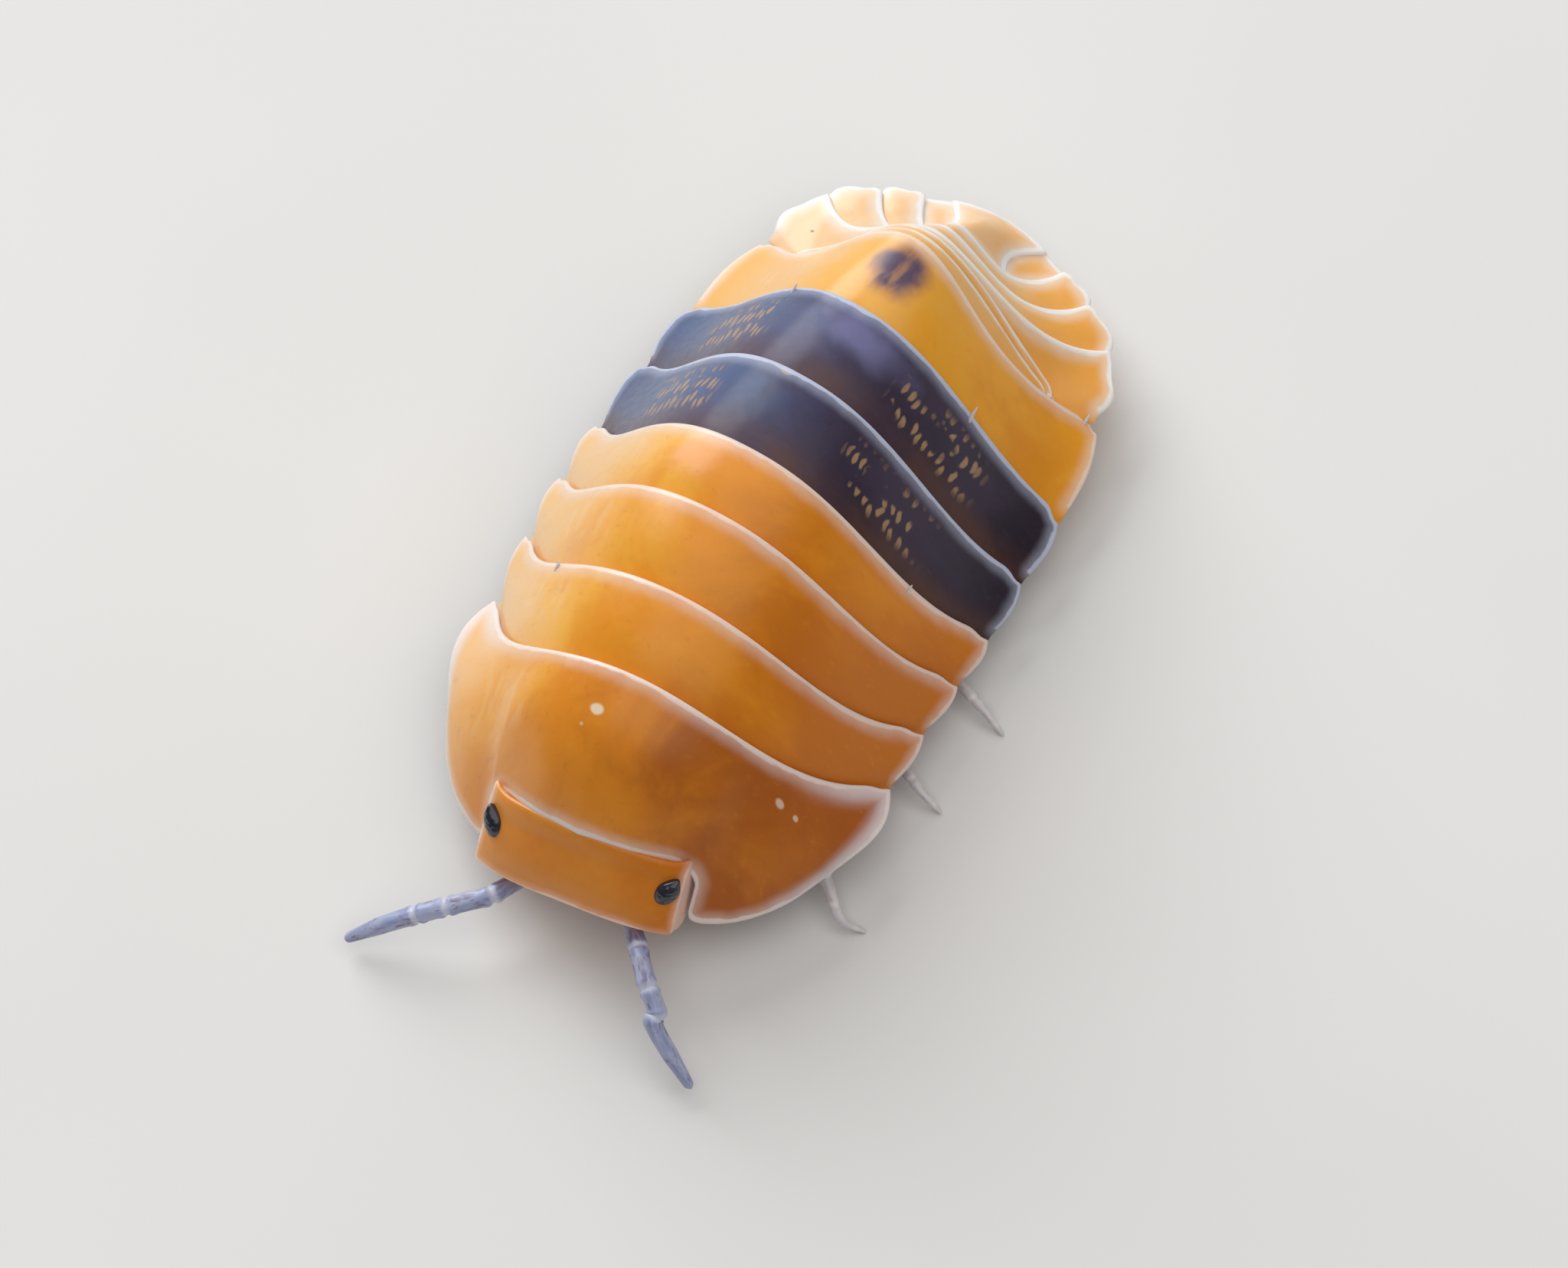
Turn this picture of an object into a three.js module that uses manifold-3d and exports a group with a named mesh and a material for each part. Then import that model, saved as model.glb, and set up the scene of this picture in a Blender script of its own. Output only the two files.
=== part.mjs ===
import * as THREE from 'three';
import { mergeVertices } from 'three/addons/utils/BufferGeometryUtils.js';
import Module from 'manifold-3d';

const wasm = await Module();
wasm.setup();

// Millimetres. The head points to -Y, the animal's left is +X and the floor is z = 0.
// Everything is laid out along a straight body first, and placeOnFloor bends it afterwards.
const bendAngle = 0.136;
const bendStart = 9;
const lift = 0.5;
// The animal leans a little: its left brim spreads wider and its front sits off to the left.
const leftSpread = 1.04;
const frontShift = 0.16;
const shiftStart = 6;
const shiftLong = 4.5;
const centreX = -0.824;
const centreY = -5.103;
const plateGap = 0.05;
const plateStep = 0.1;
const plateThick = 0.42;
const brimThick = 0.32;
const sternumLevel = 1.45;
// How the dome's cross section changes from the first plate to the last.
const frontPower = 1.94;
const rearPower = 1.03;
const frontBell = 0.14;
const rearBell = 0.82;
const sweepPower = 4.77;
const tailSweepPower = 3.6;
// The last trunk plate's rear edge curves forward on both flanks.
const lastDip = 0.33;

// The rear edge of every trunk plate: half width, y and z of the outer corner, y and z on the midline.
const rims = [
  { wide: 4.68, tipY: 2.94, tipZ: 0.79, midY: 0.97, midZ: 5.28 },
  { wide: 4.78, tipY: 4.5, tipZ: 0.79, midY: 2.79, midZ: 5.75 },
  { wide: 4.87, tipY: 5.98, tipZ: 0.66, midY: 4.63, midZ: 6.1 },
  { wide: 4.87, tipY: 7.34, tipZ: 0.66, midY: 6.18, midZ: 6.18 },
  { wide: 4.8, tipY: 8.91, tipZ: 0.76, midY: 8.25, midZ: 5.92 },
  { wide: 4.72, tipY: 10.54, tipZ: 0.82, midY: 10.37, midZ: 5.59 },
  { wide: 4.29, tipY: 12.81, tipZ: 0.78, midY: 12.46, midZ: 5.33 },
];
const trunkCount = rims.length;

// The rear edges of the five short plates behind the trunk, with the power that narrows the dome's crown.
const tailRims = [
  { wide: 3.2, tipY: 12.5, tipZ: 1.62, midY: 12.75, midZ: 5.05, power: 1.0 },
  { wide: 3.3, tipY: 12.62, tipZ: 1.45, midY: 13.0, midZ: 4.8, power: 0.98 },
  { wide: 3.6, tipY: 14.28, tipZ: 1.18, midY: 13.25, midZ: 4.5, power: 0.88 },
  { wide: 2.66, tipY: 14.97, tipZ: 1.19, midY: 13.7, midZ: 3.95, power: 0.85 },
  { wide: 1.8, tipY: 15.4, tipZ: 1.15, midY: 14.18, midZ: 3.35, power: 0.85 },
];

// The front edge of the first trunk plate, from the midline round the head to the brim's front corner.
const collar = [
  [0, -1.8, 3.15],
  [1.1, -1.66, 3.0],
  [1.95, -1.36, 2.55],
  [2.38, -1.42, 1.95],
  [2.44, -1.88, 1.05],
  [3.14, -1.5, 0.84],
  [3.88, -0.7, 0.8],
  [4.4, 0.3, 0.8],
];
const collarBrim = 0.34;
const collarSwell = 0.5;

function mix(a, b, t) {
  return a + (b - a) * t;
}

function leaned(y) {
  const s = Math.min(1, Math.max(0, (shiftStart - y) / shiftLong));
  return frontShift * s * s * (3 - 2 * s);
}

// The x that ends up at the given x after the lean, for the limbs, which don't lean.
function unleaned(x, y) {
  const free = x - leaned(y);
  return free > 0 ? free / leftSpread : free;
}

function placeOnFloor(level, y, z) {
  const x = (level > 0 ? level * leftSpread : level) + leaned(y);
  const ahead = Math.max(0, bendStart - y);
  const turn = bendAngle / bendStart;
  const angle = turn * ahead;
  let px = x;
  let py = y;
  if (ahead > 0) {
    px = (1 - Math.cos(angle)) / turn + x * Math.cos(angle);
    py = bendStart - Math.sin(angle) / turn + x * Math.sin(angle);
  }
  return new THREE.Vector3(px + centreX, py + centreY, Math.max(0, z + lift));
}

// Closed mesh from rings of points given in straight-body coordinates.
function skinRings(rings) {
  const count = rings[0].length;
  const position = [];
  const index = [];
  for (const ring of rings) {
    for (const [x, y, z] of ring) {
      const p = placeOnFloor(x, y, z);
      position.push(p.x, p.y, p.z);
    }
  }
  for (let r = 0; r + 1 < rings.length; r += 1) {
    for (let k = 0; k < count; k += 1) {
      const a = r * count + k;
      const b = r * count + ((k + 1) % count);
      index.push(a, b, b + count, a, b + count, a + count);
    }
  }
  for (const [ring, flip] of [[0, true], [rings.length - 1, false]]) {
    const centre = new THREE.Vector3();
    for (let k = 0; k < count; k += 1) {
      centre.add(new THREE.Vector3().fromArray(position, (ring * count + k) * 3));
    }
    centre.divideScalar(count);
    const at = position.length / 3;
    position.push(centre.x, centre.y, centre.z);
    for (let k = 0; k < count; k += 1) {
      const a = ring * count + k;
      const b = ring * count + ((k + 1) % count);
      if (flip) {
        index.push(b, a, at);
      } else {
        index.push(a, b, at);
      }
    }
  }
  return closed(position, index);
}

// Closed slab between a top grid and a bottom grid of the same size.
function slab(top, bottom) {
  const rows = top.length;
  const columns = top[0].length;
  const position = [];
  const index = [];
  for (const grid of [top, bottom]) {
    for (const row of grid) {
      for (const [x, y, z] of row) {
        const p = placeOnFloor(x, y, z);
        position.push(p.x, p.y, p.z);
      }
    }
  }
  const under = rows * columns;
  const at = (r, c) => r * columns + c;
  for (let r = 0; r + 1 < rows; r += 1) {
    for (let c = 0; c + 1 < columns; c += 1) {
      const a = at(r, c);
      const b = at(r, c + 1);
      const e = at(r + 1, c + 1);
      const f = at(r + 1, c);
      index.push(a, b, e, a, e, f);
      index.push(b + under, a + under, e + under, e + under, a + under, f + under);
    }
  }
  const edge = [];
  for (let c = 0; c < columns - 1; c += 1) edge.push(at(0, c));
  for (let r = 0; r < rows - 1; r += 1) edge.push(at(r, columns - 1));
  for (let c = columns - 1; c > 0; c -= 1) edge.push(at(rows - 1, c));
  for (let r = rows - 1; r > 0; r -= 1) edge.push(at(r, 0));
  for (let k = 0; k < edge.length; k += 1) {
    const a = edge[k];
    const b = edge[(k + 1) % edge.length];
    index.push(b, a, a + under, b, a + under, b + under);
  }
  return closed(position, index);
}

// Turns the faces outward when the enclosed volume comes out negative.
function closed(position, index) {
  let volume = 0;
  const a = new THREE.Vector3();
  const b = new THREE.Vector3();
  const c = new THREE.Vector3();
  for (let k = 0; k < index.length; k += 3) {
    a.fromArray(position, index[k] * 3);
    b.fromArray(position, index[k + 1] * 3);
    c.fromArray(position, index[k + 2] * 3);
    volume += a.dot(b.cross(c));
  }
  const faces = volume < 0 ? index.slice().reverse() : index;
  const geometry = new THREE.BufferGeometry();
  geometry.setAttribute('position', new THREE.Float32BufferAttribute(position, 3));
  geometry.setIndex(faces);
  geometry.computeVertexNormals();
  return geometry;
}

// Height across a plate: a parabola mixed with a bell, whose flanks sink in before the brim.
function crown(q, power, bellShare) {
  const bell = (1 + Math.cos(Math.PI * q ** power)) / 2;
  return mix(1 - q * q, bell, bellShare);
}

// A point on a trunk plate's rear edge at q from the midline (0) to the outer corner (1).
function trunkPoint(k, q) {
  const rim = rims[k];
  const along = k / (trunkCount - 1);
  const height = crown(q, mix(frontPower, rearPower, along), mix(frontBell, rearBell, along));
  const dip = k === trunkCount - 1 ? lastDip * Math.sin(Math.PI * q) ** 2 : 0;
  return [rim.wide * q, mix(rim.midY, rim.tipY, q ** sweepPower) - dip, mix(rim.tipZ, rim.midZ, height)];
}

function tailPoint(k, q) {
  const rim = tailRims[k];
  const height = crown(q, rim.power, rearBell);
  return [rim.wide * q, mix(rim.midY, rim.tipY, q ** tailSweepPower), mix(rim.tipZ, rim.midZ, height)];
}

// Inward direction shared by both plates that meet at an edge, so their faces stay parallel.
function inward(point, q) {
  const low = Math.max(0, q - 0.04);
  const high = Math.min(1, q + 0.04);
  const a = point(low);
  const b = point(high);
  const across = new THREE.Vector3(b[0] - a[0], 0, b[2] - a[2]).normalize();
  const flare = Math.min(1, Math.max(0, (q - 0.72) / 0.28));
  const down = new THREE.Vector3(across.z, 0, -across.x);
  return down.lerp(new THREE.Vector3(-0.25, 0, -1), flare).normalize();
}

function curveThrough(list, t) {
  const curve = new THREE.CatmullRomCurve3(list.map((p) => new THREE.Vector3(...p)));
  return curve.getPoint(Math.min(1, Math.max(0, t))).toArray();
}

const collarDown = new THREE.Vector3(0, 0.35, -1).normalize();

// Grids of one plate between a front edge and a rear edge.
function plateGrids(front, rear, frontDown, rearDown, shape) {
  const top = [];
  const bottom = [];
  for (let r = 0; r <= shape.rows; r += 1) {
    const v = r / shape.rows;
    const topRow = [];
    const bottomRow = [];
    for (let c = 0; c <= shape.columns; c += 1) {
      const u = (2 * c) / shape.columns - 1;
      const side = u < 0 ? -1 : 1;
      const q = Math.abs(u) ** 0.9;
      const a = front(q);
      const b = rear(q);
      const down = frontDown(q).lerp(rearDown(q), v).normalize();
      const swell = shape.swell * Math.sin(Math.PI * v ** 0.8) * (1 - 0.6 * q ** 3);
      const out = shape.brim * Math.sin(Math.PI * v) * q ** 5;
      const x = mix(a[0], b[0], v) - down.x * swell + out;
      const y = mix(a[1], b[1], v);
      const z = mix(a[2], b[2], v) - down.z * swell;
      const thick = mix(plateThick, brimThick, q ** 3);
      topRow.push([side * x, y, z]);
      bottomRow.push([side * (x + down.x * thick), y + down.y * thick, z + down.z * thick]);
    }
    top.push(topRow);
    bottom.push(bottomRow);
  }
  return [top, bottom];
}

function stepped(point, q, down) {
  const p = point(q);
  const drop = down(q);
  return [p[0] + drop.x * plateStep, p[1] + plateGap, p[2] + drop.z * plateStep];
}

const shell = new THREE.MeshStandardMaterial({ name: 'orange shell', color: 0xd98324, roughness: 0.35 });
const dark = new THREE.MeshStandardMaterial({ name: 'dark shell', color: 0x3a3038, roughness: 0.35 });
const pale = new THREE.MeshStandardMaterial({ name: 'pale underside', color: 0xb8aeb0, roughness: 0.6 });
const limbGrey = new THREE.MeshStandardMaterial({ name: 'limb grey', color: 0x9a94a0, roughness: 0.5 });
const eyeBlack = new THREE.MeshStandardMaterial({ name: 'eye black', color: 0x14121c, roughness: 0.2 });

const group = new THREE.Group();
group.name = 'woodlouse';

function add(name, geometry, material) {
  const mesh = new THREE.Mesh(geometry, material);
  mesh.name = name;
  group.add(mesh);
}

// Trunk plates.
for (let k = 0; k < trunkCount; k += 1) {
  const rear = (q) => trunkPoint(k, q);
  const rearDown = (q) => inward(rear, q);
  let front = (q) => curveThrough(collar, q);
  let frontDown = () => collarDown.clone();
  const shape = { rows: 4, columns: 22, swell: 0.1, brim: 0.1 };
  if (k === 0) {
    shape.rows = 7;
    shape.columns = 30;
    shape.swell = collarSwell;
    shape.brim = collarBrim;
  } else {
    const before = (q) => trunkPoint(k - 1, q);
    frontDown = (q) => inward(before, q);
    front = (q) => stepped(before, q, frontDown);
  }
  const [top, bottom] = plateGrids(front, rear, frontDown, rearDown, shape);
  const isDark = k === 4 || k === 5;
  add(`pereonite_${k + 1}`, slab(top, bottom), isDark ? dark : shell);
}

// Short plates of the tail. The last three end in a broad flap on each side.
const flaps = [
  null,
  null,
  { frontQ: 0.82, outer: [4.12, 12.97, 0.98], corner: [3.98, 13.85, 1.12], brim: 0.14 },
  { frontQ: 1, outer: [3.6, 14.33, 1.12], corner: [2.98, 15.0, 1.12], brim: 0.16 },
  { frontQ: 1, outer: [2.62, 15.05, 1.12], corner: [2.14, 15.46, 1.1], brim: 0.14 },
];
const flapStart = 0.86;

function mixPoint(a, b, t) {
  return [mix(a[0], b[0], t), mix(a[1], b[1], t), mix(a[2], b[2], t)];
}

for (let k = 0; k < tailRims.length; k += 1) {
  const flap = flaps[k];
  const before = k === 0 ? (q) => trunkPoint(trunkCount - 1, q * 0.74) : (q) => tailPoint(k - 1, q);
  const beforeDown = (q) => inward(before, q);
  const rim = (q) => tailPoint(k, q);
  let front = (q) => stepped(before, q, beforeDown);
  let rear = rim;
  let frontDown = beforeDown;
  let rearDown = (q) => inward(rim, q);
  const shape = { rows: 2, columns: 16, swell: 0.02, brim: 0 };
  if (flap) {
    shape.columns = 20;
    shape.rows = 3;
    shape.brim = flap.brim;
    front = (q) => {
      if (q <= flap.frontQ) return stepped(before, q / flap.frontQ, beforeDown);
      return mixPoint(stepped(before, 1, beforeDown), flap.outer, (q - flap.frontQ) / (1 - flap.frontQ));
    };
    rear = (q) => {
      if (q <= flapStart) return rim(q / flapStart);
      return mixPoint(rim(1), flap.corner, (q - flapStart) / (1 - flapStart));
    };
    frontDown = (q) => inward(before, Math.min(1, q / flap.frontQ));
    rearDown = (q) => inward(rim, Math.min(1, q / flapStart));
  }
  const [top, bottom] = plateGrids(front, rear, frontDown, rearDown, shape);
  add(`pleonite_${k + 1}`, slab(top, bottom), shell);
}

// The end plate, narrow in the middle of its length.
const telson = { frontWide: 0.98, waist: 0.36, rearWide: 1.14, rearY: 15.87, rearZ: 1.12, thick: 0.4 };

function telsonPoint(u, v) {
  const wide = mix(telson.frontWide, telson.rearWide, v) - telson.waist * Math.sin(Math.PI * v);
  const front = tailPoint(4, (telson.frontWide * Math.abs(u)) / tailRims[4].wide);
  const y = mix(front[1] + 2 * plateGap, telson.rearY - 0.2 * u * u, v);
  return [wide * u, y, mix(front[2] - 2 * plateStep, telson.rearZ, v ** 0.92)];
}

function dropped(grid, thick) {
  return grid.map((row) => row.map(([x, y, z]) => [x, y, z - thick]));
}

const telsonTop = [];
for (let r = 0; r <= 6; r += 1) {
  const row = [];
  for (let c = 0; c <= 8; c += 1) row.push(telsonPoint(c / 4 - 1, r / 6));
  telsonTop.push(row);
}
add('telson', slab(telsonTop, dropped(telsonTop, telson.thick)), shell);

// Uropods fill the wedge between the end plate and the last pair of flaps.
for (const side of [1, -1]) {
  const top = [];
  for (let r = 0; r <= 5; r += 1) {
    const v = mix(0.2, 1, r / 5);
    const inner = telsonPoint(1, v);
    const outer = tailPoint(4, mix(0.62, 0.985, r / 5));
    inner[0] += plateGap;
    outer[0] -= 2 * plateGap;
    outer[1] += 2 * plateGap;
    outer[2] -= 2 * plateStep;
    inner[2] -= 0.04;
    const row = [];
    for (let c = 0; c <= 3; c += 1) {
      const p = mixPoint(inner, outer, c / 3);
      row.push([side * p[0], p[1], p[2]]);
    }
    top.push(row);
  }
  add(side > 0 ? 'uropod_left' : 'uropod_right', slab(top, dropped(top, 0.3)), shell);
}

// A closed mesh and a cutting solid for it.
function solidOf(geometry) {
  const bare = new THREE.BufferGeometry();
  bare.setAttribute('position', geometry.getAttribute('position'));
  bare.setIndex(geometry.getIndex());
  const merged = mergeVertices(bare, 1e-5);
  return new wasm.Manifold(new wasm.Mesh({
    numProp: 3,
    vertProperties: Float32Array.from(merged.getAttribute('position').array),
    triVerts: Uint32Array.from(merged.getIndex().array),
  }));
}

function geometryOf(solid) {
  const mesh = solid.getMesh();
  const geometry = new THREE.BufferGeometry();
  geometry.setAttribute('position', new THREE.BufferAttribute(Float32Array.from(mesh.vertProperties), 3));
  geometry.setIndex(new THREE.BufferAttribute(Uint32Array.from(mesh.triVerts), 1));
  geometry.computeVertexNormals();
  return geometry;
}

// Eyes: flattened ovals let into the upper corners of the head, longer along its slope than across.
const eye = { x: 1.93, y: -1.97, z: 2.2, long: 0.37, wide: 0.2, deep: 0.16, socketGap: 0.03 };

function eyeShape(side, grow) {
  const along = new THREE.Vector3(0.4 * side, 0.64, 0.65).normalize();
  const out = new THREE.Vector3(0.55 * side, -0.6, 0.58).projectOnPlane(along).normalize();
  const across = new THREE.Vector3().crossVectors(along, out);
  const rings = [];
  for (let k = 1; k < 8; k += 1) {
    const tilt = (Math.PI * k) / 8;
    const ring = [];
    for (let j = 0; j < 12; j += 1) {
      const turn = (2 * Math.PI * j) / 12;
      const p = new THREE.Vector3(side * eye.x, eye.y, eye.z);
      p.addScaledVector(along, (eye.long + grow) * Math.cos(tilt));
      p.addScaledVector(across, (eye.wide + grow) * Math.sin(tilt) * Math.cos(turn));
      p.addScaledVector(out, (eye.deep + grow) * Math.sin(tilt) * Math.sin(turn));
      ring.push(p.toArray());
    }
    rings.push(ring);
  }
  return skinRings(rings);
}

// Head: rings across the width, each a wedge that slopes down to the front edge.
const head = { half: 2.2, rearZ: 3.0, rearSideZ: 2.42, frontY: -2.84, frontZ: 1.72, frontSideZ: 1.4 };
const headRings = [];
for (let k = 0; k <= 12; k += 1) {
  const x = mix(-head.half, head.half, k / 12);
  const s = Math.abs(x) / head.half;
  const rearY = mix(-1.9, -1.52, s ** 2);
  const rearZ = mix(head.rearZ, head.rearSideZ, s ** 2.4);
  const frontY = head.frontY + 0.3 * s ** 3;
  const frontZ = mix(head.frontZ, head.frontSideZ, s ** 2);
  headRings.push([
    [x, rearY, rearZ],
    [x, mix(rearY, frontY, 0.33) - 0.07, mix(rearZ, frontZ, 0.33) + 0.07],
    [x, mix(rearY, frontY, 0.7) - 0.08, mix(rearZ, frontZ, 0.7) + 0.06],
    [x, frontY, frontZ],
    [x, frontY + 0.14, frontZ - 0.2],
    [x, mix(-2.42, -2.3, s), mix(0.82, 1.05, s)],
    [x, -1.9, mix(0.78, 1.0, s)],
    [x, rearY + 0.02, mix(1.0, 1.3, s)],
  ]);
}
let headSolid = solidOf(skinRings(headRings));
for (const side of [1, -1]) {
  headSolid = headSolid.subtract(solidOf(eyeShape(side, eye.socketGap)));
  add(side > 0 ? 'eye_left' : 'eye_right', eyeShape(side, 0), eyeBlack);
}
add('head', geometryOf(headSolid), shell);

// Mouthparts: a low block under the head, given by y, half width, bottom and top.
const mouthStations = [
  [-2.2, 0.55, 0.5, 0.72],
  [-1.9, 0.8, 0.3, 0.72],
  [-1.5, 0.85, 0.35, 0.74],
];
const mouthRings = [];
for (const [y, half, low, high] of mouthStations) {
  const ring = [];
  for (let k = 0; k < 10; k += 1) {
    const turn = (2 * Math.PI * k) / 10;
    ring.push([half * Math.cos(turn), y, mix(low, high, (1 + Math.sin(turn)) / 2)]);
  }
  mouthRings.push(ring);
}
add('mouthparts', skinRings(mouthRings), pale);

// Trunk under the plates: y, half width and top of each station.
const trunk = [
  [-1.0, 1.3, 2.6],
  [-0.3, 1.8, 3.5],
  [0.8, 2.5, 4.3],
  [2.2, 2.9, 4.75],
  [4.2, 2.9, 5.15],
  [6.2, 2.8, 5.25],
  [8.2, 2.55, 5.0],
  [10.3, 2.2, 4.6],
  [12.0, 1.8, 4.2],
  [13.0, 1.4, 3.6],
  [13.8, 1.0, 2.8],
  [14.3, 0.6, 2.2],
];
const trunkRings = trunk.map(([y, half, top]) => {
  const ring = [];
  for (let k = 0; k <= 14; k += 1) {
    const turn = (Math.PI * k) / 14;
    ring.push([half * Math.cos(turn), y, sternumLevel + (top - sternumLevel) * Math.sin(turn) ** 0.9]);
  }
  for (let k = 1; k < 4; k += 1) {
    ring.push([mix(-half, half, k / 4), y, sternumLevel - 0.02]);
  }
  return ring;
});
add('underside', skinRings(trunkRings), pale);

// Gill plates under the tail.
const gillTop = [];
for (const [y, half] of [[12.75, 2.0], [13.4, 1.9], [14.1, 1.5], [14.7, 0.8]]) {
  const row = [];
  for (let c = 0; c <= 6; c += 1) row.push([mix(-half, half, c / 6), y, 1.36 - 0.02 * (c - 3) ** 2]);
  gillTop.push(row);
}
add('pleopods', slab(gillTop, dropped(gillTop, 0.36)), pale);

// A tapering tube along a path, round in section. A foot ends flat on the floor.
function limb(path, radii, sides, onFloor) {
  const points = path.map((p) => new THREE.Vector3(...p));
  const curve = new THREE.CatmullRomCurve3(points, false, 'centripetal');
  const steps = (path.length - 1) * 3;
  const rings = [];
  for (let k = 0; k <= steps; k += 1) {
    const t = k / steps;
    const centre = curve.getPoint(t);
    const ahead = curve.getTangent(t).normalize();
    const last = onFloor && k === steps;
    if (last) ahead.set(0, 0, -1);
    if (onFloor && k === steps - 1) ahead.lerp(new THREE.Vector3(0, 0, -1), 0.5).normalize();
    const helper = onFloor ? new THREE.Vector3(0, 1, 0) : new THREE.Vector3(0, 0, 1);
    const wide = new THREE.Vector3().crossVectors(ahead, helper).normalize();
    const high = new THREE.Vector3().crossVectors(wide, ahead).normalize();
    const slot = t * (radii.length - 1);
    const low = Math.min(radii.length - 2, Math.floor(slot));
    const radius = mix(radii[low], radii[low + 1], slot - low);
    const ring = [];
    for (let j = 0; j < sides; j += 1) {
      const turn = (2 * Math.PI * j) / sides;
      const p = centre.clone();
      p.addScaledVector(wide, radius * Math.cos(turn)).addScaledVector(high, radius * Math.sin(turn));
      ring.push([unleaned(p.x, p.y), p.y, last ? -lift : Math.max(p.z, -lift + 0.04)]);
    }
    rings.push(ring);
  }
  return skinRings(rings);
}

// Feelers, posed as seen: both reach forward and outward.
const feelers = {
  antenna_left: [[1.62, -2.72, 0.8], [1.84, -2.9, 1.02], [2.34, -3.65, 1.2], [2.75, -4.11, 0.9],
    [2.85, -4.4, 0.72], [3.85, -5.15, -0.15]],
  antenna_right: [[-1.3, -2.78, 0.82], [-1.45, -3.2, 1.05], [-1.89, -3.41, 1.0], [-2.57, -3.83, 0.85],
    [-3.4, -4.25, 0.4], [-4.2, -4.68, -0.12]],
};
for (const [name, path] of Object.entries(feelers)) {
  add(name, limb(path, [0.26, 0.29, 0.28, 0.26, 0.255, 0.25], 8, false), limbGrey);
}

// Walking legs. The left first, second and fourth reach out past the brim.
const legs = {
  leg_left_1: [[2.2, 0.9, 1.1], [3.5, 0.75, 0.8], [4.5, 0.5, 0.08], [5.2, -0.2, -0.1], [5.75, -0.12, -0.5]],
  leg_left_2: [[2.2, 2.6, 1.1], [3.5, 3.1, 0.75], [4.6, 3.7, 0.02], [5.5, 3.35, -0.08], [5.96, 3.28, -0.5]],
  leg_left_3: [[2.2, 4.3, 1.1], [3.4, 4.6, 0.75], [4.1, 4.8, 0.1], [4.5, 4.9, -0.5]],
  leg_left_4: [[2.2, 6.1, 1.1], [3.5, 6.3, 0.75], [4.6, 6.25, 0.0], [5.6, 5.9, -0.08], [6.25, 5.7, -0.5]],
  leg_left_5: [[2.2, 8.0, 1.1], [3.4, 8.3, 0.75], [4.1, 8.6, 0.1], [4.5, 8.8, -0.5]],
  leg_left_6: [[2.2, 9.8, 1.1], [3.3, 10.2, 0.75], [4.0, 10.6, 0.1], [4.35, 10.9, -0.5]],
  leg_left_7: [[2.0, 11.4, 1.1], [2.9, 11.9, 0.75], [3.5, 12.4, 0.1], [3.8, 12.8, -0.5]],
  leg_right_1: [[-2.2, 0.9, 1.1], [-3.0, 0.8, 0.75], [-3.5, 0.7, 0.1], [-3.7, 0.6, -0.5]],
  leg_right_2: [[-2.2, 2.6, 1.1], [-3.4, 2.7, 0.75], [-4.2, 2.8, 0.1], [-4.6, 2.9, -0.5]],
  leg_right_3: [[-2.2, 4.3, 1.1], [-3.4, 4.6, 0.75], [-4.2, 4.9, 0.1], [-4.6, 5.1, -0.5]],
  leg_right_4: [[-2.2, 6.1, 1.1], [-3.4, 6.2, 0.75], [-4.2, 6.3, 0.1], [-4.6, 6.4, -0.5]],
  leg_right_5: [[-2.2, 8.0, 1.1], [-3.4, 8.4, 0.75], [-4.1, 8.8, 0.1], [-4.5, 9.1, -0.5]],
  leg_right_6: [[-2.2, 9.8, 1.1], [-3.3, 10.1, 0.75], [-4.0, 10.5, 0.1], [-4.35, 10.7, -0.5]],
  leg_right_7: [[-2.0, 11.4, 1.1], [-2.9, 12.0, 0.75], [-3.5, 12.5, 0.1], [-3.8, 12.9, -0.5]],
};
for (const [name, path] of Object.entries(legs)) {
  add(name, limb(path, [0.3, 0.28, 0.26, 0.25], 6, true), limbGrey);
}

export default group;
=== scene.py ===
import math
import random

import bmesh
import bpy
from mathutils import Matrix, Vector, kdtree

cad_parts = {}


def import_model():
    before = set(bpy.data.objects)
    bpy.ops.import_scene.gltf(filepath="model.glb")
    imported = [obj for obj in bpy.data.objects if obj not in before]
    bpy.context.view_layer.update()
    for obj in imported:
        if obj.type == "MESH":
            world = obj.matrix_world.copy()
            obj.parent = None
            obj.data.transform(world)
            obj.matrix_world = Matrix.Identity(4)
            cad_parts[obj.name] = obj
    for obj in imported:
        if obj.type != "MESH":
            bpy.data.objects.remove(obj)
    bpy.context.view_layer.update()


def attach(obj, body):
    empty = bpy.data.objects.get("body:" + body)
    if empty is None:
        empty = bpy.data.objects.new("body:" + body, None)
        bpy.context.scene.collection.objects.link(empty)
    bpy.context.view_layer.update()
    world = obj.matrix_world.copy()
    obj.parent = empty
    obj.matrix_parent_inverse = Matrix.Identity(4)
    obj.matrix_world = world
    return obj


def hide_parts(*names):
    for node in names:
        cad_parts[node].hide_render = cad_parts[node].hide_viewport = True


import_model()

# Lengths are millimetres of a straight body until placeOnFloor bends it and turns them into metres.
mm = 0.001
random.seed(7)
sides = ((1, "left"), (-1, "right"))

body = dict(bendAngle=0.136, bendStart=9.0, lift=0.5, centreX=-0.824, centreY=-5.103)
# The animal leans a little: its left brim spreads wider and its front sits off to the left.
lean = dict(leftSpread=1.04, frontShift=0.16, shiftStart=6.0, shiftLong=4.5)


def mix(a, b, t):
    return a + (b - a) * t


def mixPoint(a, b, t):
    return [mix(p, q, t) for p, q in zip(a, b)]


def smooth(low, high, t):
    s = min(1.0, max(0.0, (t - low) / (high - low)))
    return s * s * (3 - 2 * s)


def leaned(y):
    return lean["frontShift"] * smooth(0, 1, (lean["shiftStart"] - y) / lean["shiftLong"])


# The x that ends up at the given x after the lean, for the limbs, which don't lean.
def unleaned(x, y):
    free = x - leaned(y)
    return free / lean["leftSpread"] if free > 0 else free


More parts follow.
